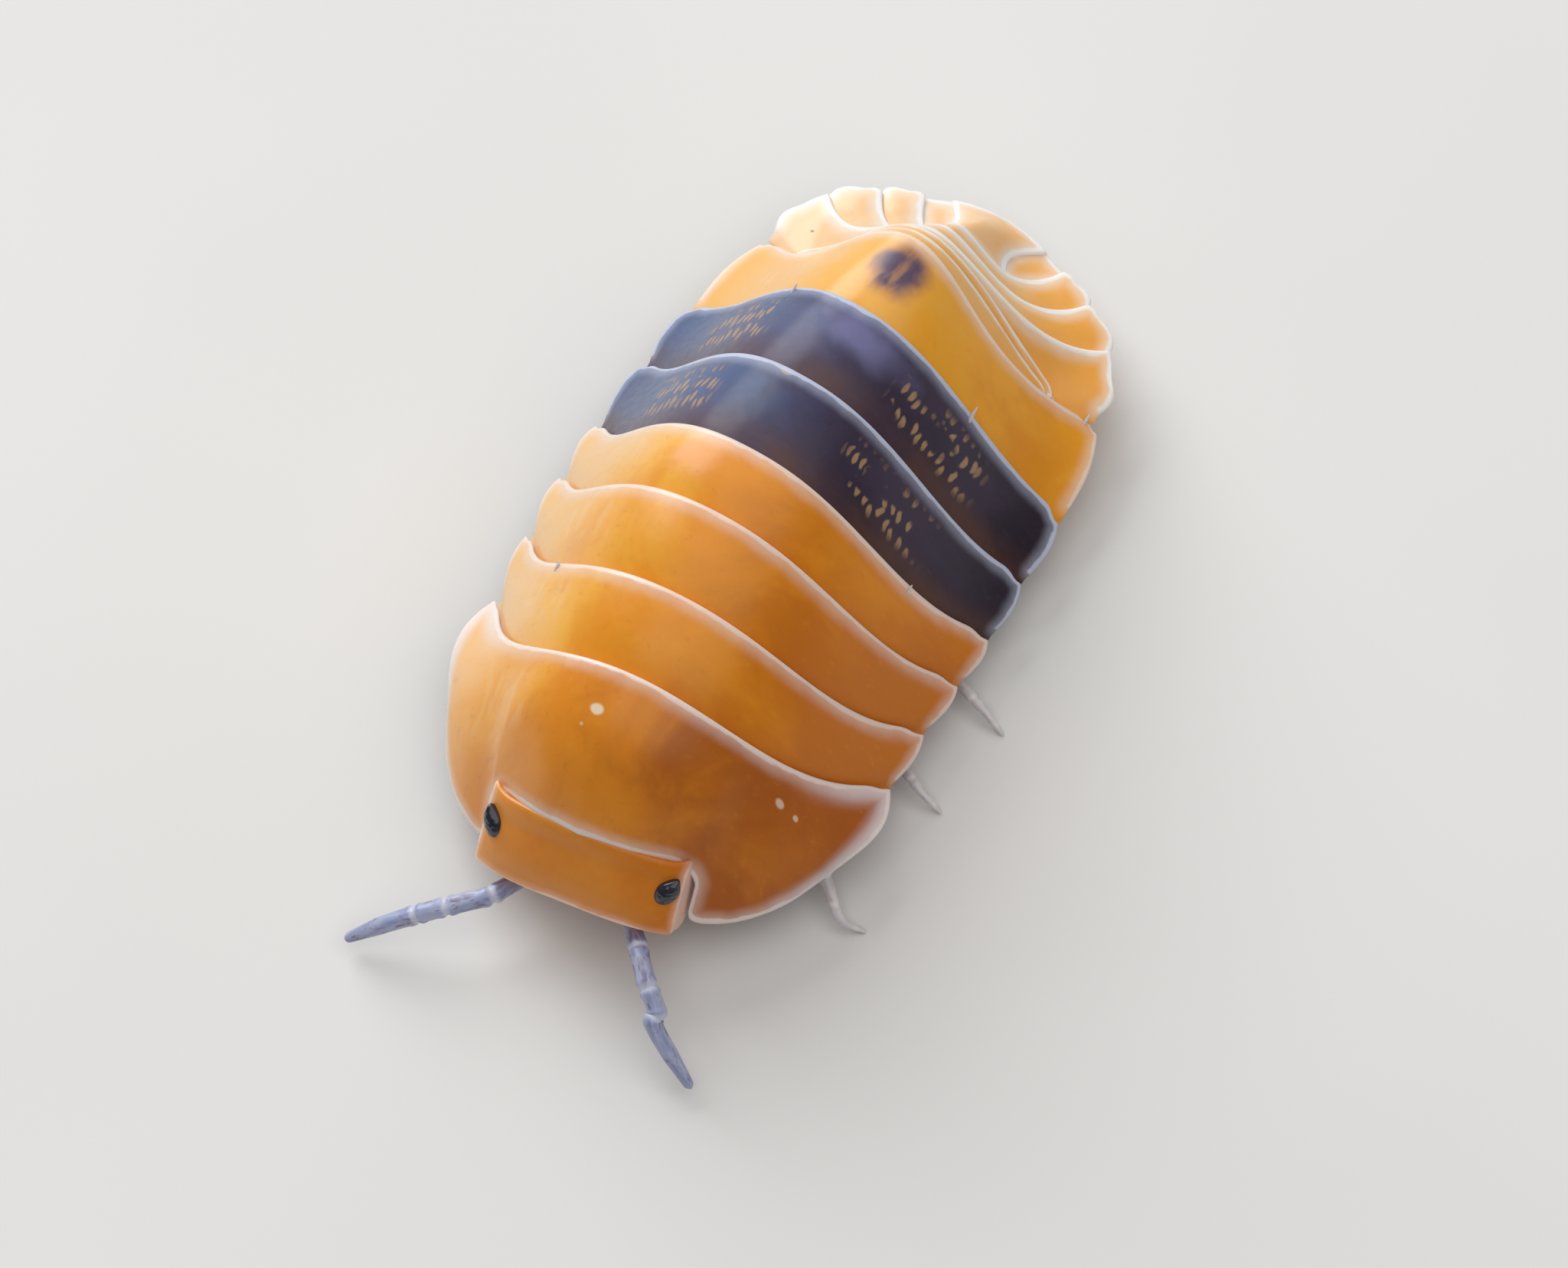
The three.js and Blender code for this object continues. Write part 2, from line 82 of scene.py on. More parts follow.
def placeOnFloor(x, y, z):
    x = (x * lean["leftSpread"] if x > 0 else x) + leaned(y)
    ahead = max(0.0, body["bendStart"] - y)
    turn = body["bendAngle"] / body["bendStart"]
    angle = turn * ahead
    px = x
    py = y
    if ahead > 0:
        px = (1 - math.cos(angle)) / turn + x * math.cos(angle)
        py = body["bendStart"] - math.sin(angle) / turn + x * math.sin(angle)
    return Vector((px + body["centreX"], py + body["centreY"], z + body["lift"])) * mm


# Rear edge of every trunk plate: half width, y and z of the outer corner, y and z on the midline.
trunkRims = [
    (4.68, 2.94, 0.79, 0.97, 5.28),
    (4.78, 4.5, 0.79, 2.79, 5.75),
    (4.87, 5.98, 0.66, 4.63, 6.1),
    (4.87, 7.34, 0.66, 6.18, 6.18),
    (4.8, 8.91, 0.76, 8.25, 5.92),
    (4.72, 10.54, 0.82, 10.37, 5.59),
    (4.29, 12.81, 0.78, 12.46, 5.33),
]
# The short tail plates the same way, with the power that narrows the dome's crown.
tailRims = [
    (3.2, 12.5, 1.62, 12.75, 5.05, 1.0),
    (3.3, 12.62, 1.45, 13.0, 4.8, 0.98),
    (3.6, 14.28, 1.18, 13.25, 4.5, 0.88),
    (2.66, 14.97, 1.19, 13.7, 3.95, 0.85),
    (1.8, 15.4, 1.15, 14.18, 3.35, 0.85),
]
# The front edge of the first plate, from the midline round the head to the brim's front corner.
collar = [
    (0, -1.8, 3.15),
    (1.1, -1.66, 3.0),
    (1.95, -1.36, 2.55),
    (2.3, -1.44, 1.95),
    (2.34, -1.9, 1.05),
    (3.14, -1.5, 0.84),
    (3.88, -0.7, 0.8),
    (4.4, 0.3, 0.8),
]
# How the dome's cross section changes from the first plate to the last.
dome = dict(
    frontPower=1.94, rearPower=1.03, frontBell=0.14, rearBell=0.82, sweep=4.77, tailSweep=3.6, lastDip=0.33,
)
# How a plate is drawn between its front and rear edge, and how its brim turns down.
plateCurve = dict(
    spread=0.9, swellPeak=0.8, swellFade=0.6, cornerStart=0.9, probe=0.04, flareStart=0.72,
    flareDown=(-0.25, 0, -1), stepBack=0.02, edgeSteps=4,
)


# A point of the smooth curve between b and c.
def between(a, b, c, d, f):
    return [
        0.5 * (2 * q + (r - p) * f + (2 * p - 5 * q + 4 * r - s) * f * f + (3 * q - p - 3 * r + s) * f ** 3)
        for p, q, r, s in zip(a, b, c, d)
    ]


def openCurve(points, t):
    spans = len(points) - 1
    place = min(spans - 1e-9, max(0.0, t * spans))
    k = int(place)
    a = points[k - 1] if k else mixPoint(points[1], points[0], 2)
    d = points[k + 2] if k + 2 <= spans else mixPoint(points[-2], points[-1], 2)
    return between(a, points[k], points[k + 1], d, place - k)


def closedCurve(points, t):
    spans = len(points)
    place = (t % 1.0) * spans
    k = int(place) % spans
    return between(*(points[(k + j) % spans] for j in (-1, 0, 1, 2)), place - int(place))


def crown(q, power, bellShare):
    bell = (1 + math.cos(math.pi * q ** power)) / 2
    return mix(1 - q * q, bell, bellShare)


def trunkPoint(k, q):
    wide, tipY, tipZ, midY, midZ = trunkRims[k]
    along = k / (len(trunkRims) - 1)
    power = mix(dome["frontPower"], dome["rearPower"], along)
    height = crown(q, power, mix(dome["frontBell"], dome["rearBell"], along))
    dip = dome["lastDip"] * math.sin(math.pi * q) ** 2 if k == len(trunkRims) - 1 else 0
    return [wide * q, mix(midY, tipY, q ** dome["sweep"]) - dip, mix(tipZ, midZ, height)]


def tailPoint(k, q):
    wide, tipY, tipZ, midY, midZ, power = tailRims[k]
    height = crown(q, power, dome["rearBell"])
    return [wide * q, mix(midY, tipY, q ** dome["tailSweep"]), mix(tipZ, midZ, height)]


# The way into the body from an edge: square to the dome, and down at the brim.
def inward(point, q):
    a = point(max(0.0, q - plateCurve["probe"]))
    b = point(min(1.0, q + plateCurve["probe"]))
    across = Vector((b[0] - a[0], 0, b[2] - a[2])).normalized()
    flare = min(1.0, max(0.0, (q - plateCurve["flareStart"]) / (1 - plateCurve["flareStart"])))
    return Vector((across.z, 0, -across.x)).lerp(Vector(plateCurve["flareDown"]), flare).normalized()


# The front edge of a plate lies one step under the rear edge of the plate before it.
def stepped(point, q, drop):
    p = point(q)
    d = inward(point, q)
    return [p[0] + d.x * drop, p[1] + plateCurve["stepBack"], p[2] + d.z * drop]


# A mesh whose vertices carry their distance to the rim and their place on the straight body.
class Skin:
    def __init__(self):
        self.bm = bmesh.new()
        self.rim = self.bm.verts.layers.float.new("rim")
        self.flat = self.bm.verts.layers.float_vector.new("flat")

    def setVerts(self, verts, points):
        for vert, (place, rim, flat) in zip(verts, points):
            vert.co = place
            vert[self.rim] = rim
            vert[self.flat] = flat

    # Extrudes a loop once and gives its new vertices in the same order, with their edges.
    def extrude(self, loop, edges):
        parts = bmesh.ops.extrude_edge_only(self.bm, edges=edges)["geom"]
        fresh = {part for part in parts if isinstance(part, bmesh.types.BMVert)}
        grown = [next(e.other_vert(v) for e in v.link_edges if e.other_vert(v) in fresh) for v in loop]
        return grown, [part for part in parts if isinstance(part, bmesh.types.BMEdge) and part.is_boundary]

    def close(self, edges, rim, flat):
        cap = bmesh.ops.contextual_create(self.bm, geom=edges)["faces"]
        for vert in bmesh.ops.poke(self.bm, faces=cap, center_mode="MEAN")["verts"]:
            vert[self.rim] = rim
            vert[self.flat] = flat

    def finish(self, name):
        bmesh.ops.recalc_face_normals(self.bm, faces=self.bm.faces)
        mesh = bpy.data.meshes.new(name)
        self.bm.to_mesh(mesh)
        self.bm.free()
        mesh.shade_smooth()
        return addObject(name, mesh)


def addObject(name, data):
    obj = bpy.data.objects.new(name, data)
    bpy.context.scene.collection.objects.link(obj)
    return obj


def addPiece(obj, material, slot, *nodes):
    obj.data.materials.append(material)
    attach(obj, "root")
    if nodes:
        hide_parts(*nodes)


# A closed skin through rings of points, each with its rim distance and its place on the body.
def ringMesh(name, rings):
    skin = Skin()
    loop = bmesh.ops.create_circle(skin.bm, segments=len(rings[0]))["verts"]
    edges = skin.bm.edges[:]
    firstEdges = edges
    skin.setVerts(loop, rings[0])
    for ring in rings[1:]:
        loop, edges = skin.extrude(loop, edges)
        skin.setVerts(loop, ring)
    skin.close(firstEdges, *rings[0][0][1:])
    skin.close(edges, *rings[-1][0][1:])
    return skin.finish(name)


# How far each point of a plate is from its free edges. A tucked front edge isn't one of them.
def rimDistances(points, bareFront):
    freeRows = points[len(points) // 4:] if bareFront else points
    edge = list(points[-1]) + [point for row in freeRows for point in (row[0], row[-1])]
    if not bareFront:
        edge += points[0]
    tree = kdtree.KDTree(len(edge))
    for index, point in enumerate(edge):
        tree.insert(point, index)
    tree.balance()
    return [[tree.find(point)[2] / mm for point in row] for row in points]


# A closed plate with round edges from a grid of top points, each with its way down and its thickness.
def plateMesh(name, sheet, bareFront=False):
    rows = len(sheet)
    columns = len(sheet[0])
    top = [[placeOnFloor(*point) for point, *_ in row] for row in sheet]
    under = [[placeOnFloor(*(Vector(p) + down * thick)) for p, down, thick, _ in row] for row in sheet]
    rim = rimDistances(top, bareFront)
    around = [(0, c) for c in range(columns - 1)] + [(r, columns - 1) for r in range(rows - 1)]
    around += [(rows - 1, c) for c in range(columns - 1, 0, -1)] + [(r, 0) for r in range(rows - 1, 0, -1)]

    skin = Skin()
    loops = []
    for points in (top, under):
        verts = bmesh.ops.create_grid(skin.bm, x_segments=columns - 1, y_segments=rows - 1)["verts"]
        placed = [(points[r][c], rim[r][c], sheet[r][c][3]) for r in range(rows) for c in range(columns)]
        skin.setVerts(verts, placed)
        loops.append([verts[r * columns + c] for r, c in around])
        if points is top:
            edges = [edge for edge in skin.bm.edges if edge.is_boundary]

    # The top's border is extruded round a half circle and welded to the underside's.
    loop, underLoop = loops
    steps = plateCurve["edgeSteps"]
    for step in range(1, steps + 1):
        loop, edges = skin.extrude(loop, edges)
        turn = math.pi * step / steps
        ring = []
        for r, c in around:
            half = (top[r][c] - under[r][c]) / 2
            outward = top[r][c] - top[min(rows - 2, max(1, r))][min(columns - 2, max(1, c))]
            outward -= half * (outward.dot(half) / max(1e-12, half.dot(half)))
            outward.normalize()
            place = under[r][c] + half + half * math.cos(turn) + outward * half.length * math.sin(turn)
            ring.append((place, rim[r][c], sheet[r][c][3]))
        skin.setVerts(loop, ring)
    bmesh.ops.weld_verts(skin.bm, targetmap=dict(zip(loop, underLoop)))
    return skin.finish(name)


def platePiece(name, front, rear, frontDown, rearDown, shape):
    rows = shape["rows"]
    columns = shape["columns"]
    tuckRows = shape.get("tuckRows", 0)
    sheet = []
    for r in range(-tuckRows, rows + 1):
        v = max(0.0, r / rows)
        ahead = -r / tuckRows if r < 0 else 0.0
        row = []
        for c in range(columns + 1):
            u = 2 * c / columns - 1
            side = -1 if u < 0 else 1
            q = abs(u) ** plateCurve["spread"]
            a = front(q)
            b = rear(q)
            d = frontDown(q).lerp(rearDown(q), v).normalized()
            swell = shape["swell"] * math.sin(math.pi * v ** plateCurve["swellPeak"])
            swell *= 1 - plateCurve["swellFade"] * q ** 3
            out = shape["brim"] * math.sin(math.pi * v) * q ** 5
            corner = smooth(plateCurve["cornerStart"], 1.0, q) ** 2 * shape["corner"] * v ** 3
            lower = shape.get("tuckDrop", 0) * ahead - swell
            x = side * (mix(a[0], b[0], v) + out + d.x * lower)
            y = mix(a[1], b[1], v) - ahead * shape.get("tuck", 0) - corner
            z = mix(a[2], b[2], v) + d.z * lower
            thick = mix(shape["thick"], shape["brimThick"], q ** 3)
            row.append(((x, y, z), Vector((side * d.x, d.y, d.z)), thick, (x, y, v)))
        sheet.append(row)
    return plateMesh(name, sheet, bareFront=tuckRows > 0)


plateDown = Vector((0, -0.3, -0.95))


# A small plate over a grid of u from -1 to 1 and v from 0 to 1, with one thickness.
def gridPlate(name, pointAt, rows, columns, thick):
    sheet = []
    for r in range(rows + 1):
        points = [pointAt(2 * c / columns - 1, r / rows) for c in range(columns + 1)]
        sheet.append([(p, plateDown, thick, (p[0], p[1], r / rows)) for p in points])
    return plateMesh(name, sheet)


# Shader helpers
class Shader:
    def __init__(self, name):
        self.material = bpy.data.materials.new(name)
        self.material.use_nodes = True
        self.tree = self.material.node_tree
        self.tree.nodes.clear()
        self.surface = self.add("ShaderNodeBsdfPrincipled")
        self.link(self.surface, "BSDF", self.add("ShaderNodeOutputMaterial"), "Surface")

    def add(self, kind, **settings):
        node = self.tree.nodes.new(kind)
        for key, value in settings.items():
            setattr(node, key, value)
        return node

    def link(self, source, sourceSocket, target, targetSocket):
        self.tree.links.new(source.outputs[sourceSocket], target.inputs[targetSocket])

    def attribute(self, name):
        return self.add("ShaderNodeAttribute", attribute_name=name)

    def split(self, source, socket):
        node = self.add("ShaderNodeSeparateXYZ")
        self.link(source, socket, node, 0)
        return node

    def noise(self, source, socket, scale, detail=3.0, rough=0.5, warp=0.0):
        node = self.add("ShaderNodeTexNoise")
        self.link(source, socket, node, "Vector")
        for key, value in dict(Scale=scale, Detail=detail, Roughness=rough, Distortion=warp).items():
            node.inputs[key].default_value = value
        return node

    def remap(self, source, socket, low, high, toLow=0.0, toHigh=1.0):
        node = self.add("ShaderNodeMapRange", interpolation_type="SMOOTHSTEP")
        self.link(source, socket, node, 0)
        for place, value in zip((1, 2, 3, 4), (low, high, toLow, toHigh)):
            node.inputs[place].default_value = value
        return node

    def maths(self, operation, a, b=None):
        node = self.add("ShaderNodeMath", operation=operation)
        for place, value in enumerate((a, b)):
            if isinstance(value, tuple):
                self.link(value[0], value[1], node, place)
            elif value is not None:
                node.inputs[place].default_value = value
        return node

    def colours(self, factor, first, second):
        node = self.add("ShaderNodeMix", data_type="RGBA")
        self.tree.links.new(factor.outputs[0], node.inputs[0])
        for place, value in zip((6, 7), (first, second)):
            if isinstance(value, tuple):
                node.inputs[place].default_value = (*value, 1)
            else:
                self.tree.links.new(value.outputs[2], node.inputs[place])
        return node

    def vector(self, operation, source, socket, value):
        node = self.add("ShaderNodeVectorMath", operation=operation)
        self.link(source, socket, node, 0)
        node.inputs[1].default_value = value
        return node

    # Noise with its own scale along each axis.
    def strands(self, source, scales, detail, rough=0.5, warp=0.0):
        return self.noise(self.vector("MULTIPLY", source, "Vector", scales), 0, 1.0, detail, rough, warp)

    def product(self, *factors):
        node = factors[0]
        for factor in factors[1:]:
            other = factor if isinstance(factor, (int, float)) else (factor, 0)
            node = self.maths("MULTIPLY", (node, 0), other)
        return node

    # A soft round spot at x, y of the straight body, with an edge that wanders by ragged.
    def spot(self, flat, x, y, wide, long, soft, ragged):
        moved = self.vector("SUBTRACT", flat, "Vector", (x, y, 0))
        scaled = self.vector("MULTIPLY", moved, 0, (1 / wide, 1 / long, 0))
        reach = self.add("ShaderNodeVectorMath", operation="LENGTH")
        self.link(scaled, 0, reach, 0)
        wander = self.remap(self.noise(flat, "Vector", 1.8, 1, 0.5), "Fac", 0.3, 0.7, -ragged, ragged)
        size = self.maths("ADD", (reach, "Value"), (wander, 0))
        return self.remap(size, 0, 1 - soft, 1, 1.0, 0.0)

    def bump(self, layers):
        below = None
        for source, strength, distance in layers:
            node = self.add("ShaderNodeBump")
            self.link(source, "Fac", node, "Height")
            node.inputs["Strength"].default_value = strength
            node.inputs["Distance"].default_value = distance
            if below:
                self.link(below, "Normal", node, "Normal")
            below = node
        self.link(below, "Normal", self.surface, "Normal")

    def plain(self, **values):
        for key, value in values.items():
            self.surface.inputs[key.replace("_", " ")].default_value = value


# Colours change from the left flank to the right one, partly the shell's own tone and partly painted light:
# painted shade deepens the left flank and painted light from the key softbox pales the right and rear. Places
# are in mm across, and clouds shift them.
shellCloudAndPaintedLight = dict(
    scale=0.42, sway=1.7, lengthwise=0.2,
    deepToMid=(-3.4, 0.6), midToBright=(0.4, 3.6), brightToPale=(3.0, 5.8),
)
shellSpecks = dict(scale=5.0, bright=0.25, deep=0.35, spotRagged=0.25, roughSpread=0.12)
shellEdge = dict(wanderScale=1.6, wander=0.03, lineStart=0.02)
shellGrain = dict(
    scale=16.0, strength=0.12, height=0.00002, swellScale=1.3, swellStrength=0.25, swellHeight=0.00012,
)
shellGloss = dict(dryAt=2.6, wetAt=-1.5, dryShare=0.15)


# The shell: amber with soft clouds, darker on the left flank as painted shade and paler on the right as
# painted light, fading into a pale see-through margin.
def shellMaterial(name, look):
    s = Shader(name)
    flat = s.attribute("flat")
    rim = s.attribute("rim")
    axes = s.split(flat, "Vector")
    cloud = s.noise(flat, "Vector", shellCloudAndPaintedLight["scale"], 4, 0.55, 0.5)
    place = s.maths("MULTIPLY_ADD", (axes, "Y"), shellCloudAndPaintedLight["lengthwise"])
    s.link(s.maths("MULTIPLY", (axes, "X"), -1.0), 0, place, 2)
    sway = s.remap(cloud, "Fac", 0.25, 0.75, -shellCloudAndPaintedLight["sway"], shellCloudAndPaintedLight["sway"])
    wavy = s.maths("ADD", (place, 0), (sway, 0))
    # Painted shade and painted light: the tone runs from deep on the left flank to pale on the right and
    # rear.
    tone = s.colours(s.remap(wavy, 0, *shellCloudAndPaintedLight["deepToMid"]), look["deep"], look["mid"])
    tone = s.colours(s.remap(wavy, 0, *shellCloudAndPaintedLight["midToBright"]), tone, look["bright"])
    tone = s.colours(s.remap(wavy, 0, *shellCloudAndPaintedLight["brightToPale"], 0, look["drift"]), tone, look["pale"])
    speck = s.noise(flat, "Vector", shellSpecks["scale"], 4, 0.65)
    tone = s.colours(s.remap(speck, "Fac", 0.55, 0.85, 0, shellSpecks["bright"]), tone, look["bright"])
    tone = s.colours(s.remap(speck, "Fac", 0.45, 0.2, 0, shellSpecks["deep"]), tone, look["deep"])
    for layer in look["layers"]:
        tone = layer(s, flat, rim, axes, tone)
    for x, y, wide, long, share, colour in look.get("spots", ()):
        spot = s.spot(flat, x, y, wide, long, 0.5, shellSpecks["spotRagged"])
        tone = s.colours(s.product(spot, share), tone, colour)

    ripple = s.noise(flat, "Vector", shellEdge["wanderScale"], 3, 0.5)
    wander = s.remap(ripple, "Fac", 0.3, 0.7, -shellEdge["wander"], shellEdge["wander"])
    shifted = s.maths("ADD", (rim, "Fac"), (wander, 0))
    line = s.remap(shifted, 0, shellEdge["lineStart"], look["line"], look["lineShare"], 0.0)
    halo = s.remap(shifted, 0, 0.0, look["halo"], look["haloShare"], 0.0)
    tone = s.colours(s.maths("MAXIMUM", (line, 0), (halo, 0)), tone, look["rimTone"])
    s.link(tone, 2, s.surface, "Base Color")

    grain = s.noise(flat, "Vector", shellGrain["scale"], 4, 0.6)
    swells = s.noise(flat, "Vector", shellGrain["swellScale"], 2, 0.5)
    s.bump((
        (swells, shellGrain["swellStrength"], shellGrain["swellHeight"]),
        (grain, shellGrain["strength"], shellGrain["height"]),
    ))
    rough = s.remap(speck, "Fac", 0.3, 0.75, look["gloss"], look["gloss"] + shellSpecks["roughSpread"])
    s.link(rough, 0, s.surface, "Roughness")
    dryCoat = look["coat"] * shellGloss["dryShare"]
    wet = s.remap(axes, "X", shellGloss["dryAt"], shellGloss["wetAt"], dryCoat, look["coat"])
    s.link(wet, 0, s.surface, "Coat Weight")
    s.plain(Coat_Roughness=0.27, Coat_IOR=1.5, IOR=1.33)
    s.plain(Subsurface_Weight=look["depth"], Subsurface_Scale=0.0006, Subsurface_Radius=(1.0, 0.4, 0.12))
    return s.material


# The lobes of the first plate have a wide milky border.
lobe = dict(start=3.3, full=4.5, wide=0.55, share=0.6, tone=(0.84, 0.83, 0.92))


def lobeGlow(s, flat, rim, axes, tone):
    outer = s.remap(s.maths("ABSOLUTE", (axes, "X")), 0, lobe["start"], lobe["full"])
    near = s.remap(rim, "Fac", 0.0, lobe["wide"], lobe["share"], 0.0)
    return s.colours(s.product(outer, near), tone, lobe["tone"])


# Dark plates: red-brown in front, a painted blue sheen (painted reflection) to the right with a painted
# highlight on the sixth plate's crest, and short tan dashes on both flanks.
darkMarksAndSheen = dict(
    frontTone=(0.11, 0.040, 0.020), frontShare=0.8, sheenTone=(0.04, 0.09, 0.22), sheenShare=0.75,
    # The crest spot is a painted highlight: x, y, width, length, softness and raggedness.
    crestSheen=(0.45, 9.8, 1.6, 0.75, 0.9, 0.1), crestSheenTone=(0.18, 0.17, 0.33), crestSheenShare=0.85,
    dashScales=(6.6, 1.9, 0), dashBend=(0.22, 0.1, 0), dashTone=(0.42, 0.25, 0.12), dashShare=0.85,
)


def darkLayers(s, flat, rim, axes, tone):
    blotch = s.remap(s.noise(flat, "Vector", 0.9, 3, 0.6, 0.4), "Fac", 0.3, 0.65, 0.35, 1.0)
    front = s.remap(axes, "Z", 0.45, 0.05, 0.0, darkMarksAndSheen["frontShare"])
    tone = s.colours(s.product(front, blotch), tone, darkMarksAndSheen["frontTone"])
    # Painted sheen: a painted reflection of the key softbox, lighter blue on the right flank towards each
    # plate's rear.
    sheen = s.remap(axes, "X", 1.7, -1.6, 0.0, darkMarksAndSheen["sheenShare"])
    rear = s.remap(axes, "Z", 0.15, 0.75, 0.25, 1.0)
    tone = s.colours(s.product(sheen, blotch, rear), tone, darkMarksAndSheen["sheenTone"])
    # Painted highlight: a pale blue spot on the sixth plate's crest.
    crestSheen = s.product(s.spot(flat, *darkMarksAndSheen["crestSheen"]), darkMarksAndSheen["crestSheenShare"])
    tone = s.colours(crestSheen, tone, darkMarksAndSheen["crestSheenTone"])

    # The dashes are narrow cells, gathered on each flank between the plate's front and rear.
    side = s.maths("ABSOLUTE", (axes, "X"))
    flank = s.product(s.remap(side, 0, 1.35, 1.7), s.remap(side, 0, 3.5, 3.1))
    middle = s.product(s.remap(axes, "Z", 0.2, 0.34), s.remap(axes, "Z", 0.88, 0.7))
    gathered = s.remap(s.noise(flat, "Vector", 1.15, 2, 0.5), "Fac", 0.36, 0.44)
    bent = s.add("ShaderNodeVectorMath", operation="MULTIPLY_ADD")
    s.link(s.noise(flat, "Vector", 1.8, 2), "Color", bent, 0)
    bent.inputs[1].default_value = darkMarksAndSheen["dashBend"]
    s.link(flat, "Vector", bent, 2)
    cells = s.add("ShaderNodeTexVoronoi", voronoi_dimensions="2D")
    s.link(s.vector("MULTIPLY", bent, 0, darkMarksAndSheen["dashScales"]), 0, cells, "Vector")
    cells.inputs["Scale"].default_value = 1.0
    cells.inputs["Randomness"].default_value = 0.5
    dashes = s.product(s.remap(cells, "Distance", 0.36, 0.2), flank, middle, gathered, darkMarksAndSheen["dashShare"])
    return s.colours(dashes, tone, darkMarksAndSheen["dashTone"])


# The last trunk plate lets a dark violet organ show through at the midline.
violet = dict(spot=(0.14, 11.62, 0.82, 0.84, 0.6, 0.07), strands=(3.0, 1.2, 0), tone=(0.10, 0.06, 0.11))


def violetMark(s, flat, rim, axes, tone):
    streak = s.remap(s.strands(flat, violet["strands"], 2, 0.5, 0.5), "Fac", 0.42, 0.68, 1.0, 0.7)
    return s.colours(s.product(s.spot(flat, *violet["spot"]), streak), tone, violet["tone"])


# Muscle bands show faintly through the amber plates on the right flank.
muscle = dict(strands=(5.5, 1.1, 0), share=0.18, tone=(0.95, 0.62, 0.30))


def muscleBands(s, flat, rim, axes, tone):
    flank = s.product(s.remap(axes, "X", -1.6, -2.2), s.remap(axes, "X", -3.7, -3.2))
    middle = s.product(s.remap(axes, "Z", 0.3, 0.45), s.remap(axes, "Z", 0.9, 0.75))
    stripes = s.remap(s.strands(flat, muscle["strands"], 2, 0.5, 0.3), "Fac", 0.5, 0.62)
    return s.colours(s.product(stripes, flank, middle, muscle["share"]), tone, muscle["tone"])


# A look's spots are x, y, width, length, share and tone.
# In each look the deep tone carries painted shade of the left flank, and the bright and pale tones carry
# painted light of the right flank.
amber = dict(
    deep=(0.62, 0.165, 0.001), mid=(0.86, 0.28, 0.003), bright=(0.96, 0.42, 0.035), pale=(0.95, 0.54, 0.24),
    drift=0.6, rimTone=(0.94, 0.77, 0.71), line=0.12, lineShare=0.75, halo=0.38, haloShare=0.42,
    gloss=0.4, coat=0.9, depth=0.25, layers=(muscleBands,),
)
firstLook = dict(
    amber, deep=(0.42, 0.10, 0.001), mid=(0.80, 0.25, 0.003), bright=(0.93, 0.37, 0.03),
    layers=(muscleBands, lobeGlow), lineShare=0.85,
    spots=(
        (-0.36, 0.13, 0.17, 0.12, 0.85, (0.95, 0.76, 0.56)),
        (-0.55, -0.2, 0.06, 0.05, 0.5, (0.95, 0.7, 0.5)),
        (3.3, 0.62, 0.09, 0.1, 0.6, (0.95, 0.72, 0.55)),
        (3.62, 0.6, 0.06, 0.07, 0.6, (0.95, 0.72, 0.55)),
    ),
)
lastLook = dict(
    amber, deep=(0.78, 0.26, 0.005), mid=(0.96, 0.39, 0.02), bright=(0.95, 0.43, 0.06),
    pale=(0.92, 0.48, 0.17), drift=0.3, layers=(muscleBands, violetMark),
)
goldLook = dict(
    amber, deep=(0.90, 0.35, 0.03), mid=(0.94, 0.42, 0.09), bright=(0.95, 0.49, 0.17),
    pale=(0.94, 0.60, 0.36), rimTone=(0.96, 0.92, 0.90), line=0.19, lineShare=0.9, halo=0.42,
    haloShare=0.5, layers=(),
    spots=((-3.3, 13.25, 0.08, 0.06, 0.8, (0.20, 0.09, 0.03)),),
)
foldLook = dict(goldLook, line=0.06, lineShare=0.7, halo=0.14, haloShare=0.3)
# The dark look's pale blue end, on the right flank, is painted sheen: a painted reflection of the key
# softbox.
darkLook = dict(
    deep=(0.016, 0.008, 0.018), mid=(0.042, 0.027, 0.055), bright=(0.085, 0.070, 0.14),
    pale=(0.09, 0.13, 0.22), drift=0.6, rimTone=(0.62, 0.66, 0.82), line=0.1, lineShare=0.8,
    halo=0.34, haloShare=0.35, gloss=0.4, coat=0.35, depth=0.1, layers=(darkLayers,),
    spots=((-0.35, 8.2, 0.16, 0.08, 0.8, (0.42, 0.27, 0.16)),),
)
headLook = dict(
    amber, mid=(0.72, 0.25, 0.02), bright=(0.84, 0.36, 0.08), line=0.09, lineShare=0.6, halo=0.24,
    haloShare=0.3, layers=(),
)

orange = shellMaterial("orange shell", amber)
orangeFirst = shellMaterial("orange shell of the first plate", firstLook)
orangeLast = shellMaterial("orange shell of the last trunk plate", lastLook)
golden = shellMaterial("golden shell", goldLook)
goldenFold = shellMaterial("golden shell of the narrow plates", foldLook)
dark = shellMaterial("dark shell", darkLook)
headShell = shellMaterial("orange shell of the head", headLook)
print("materials of the shell")

# Trunk plates
plateShape = dict(
    rows=30, columns=168, tuckRows=5, swell=0.1, brim=0.12, corner=0.22, tuck=0.4, tuckDrop=0.12,
    thick=0.14, brimThick=0.1,
)
firstShape = dict(rows=56, columns=240, swell=0.5, brim=0.34, corner=0.2, thick=0.15, brimThick=0.11)
collarDown = Vector((0, 0.33, -0.94))
trunkStep = 0.2


def trunkPlate(k):
    def rear(q):
        return trunkPoint(k, q)

    def before(q):
        return trunkPoint(k - 1, q)

    name = f"plate_{k + 1}"
    if k == 0:
        return platePiece(
            name, lambda q: openCurve(collar, q), rear,
            lambda q: collarDown, lambda q: inward(rear, q), firstShape,
        )
    return platePiece(
        name, lambda q: stepped(before, q, trunkStep), rear,
        lambda q: inward(before, q), lambda q: inward(rear, q), plateShape,
    )


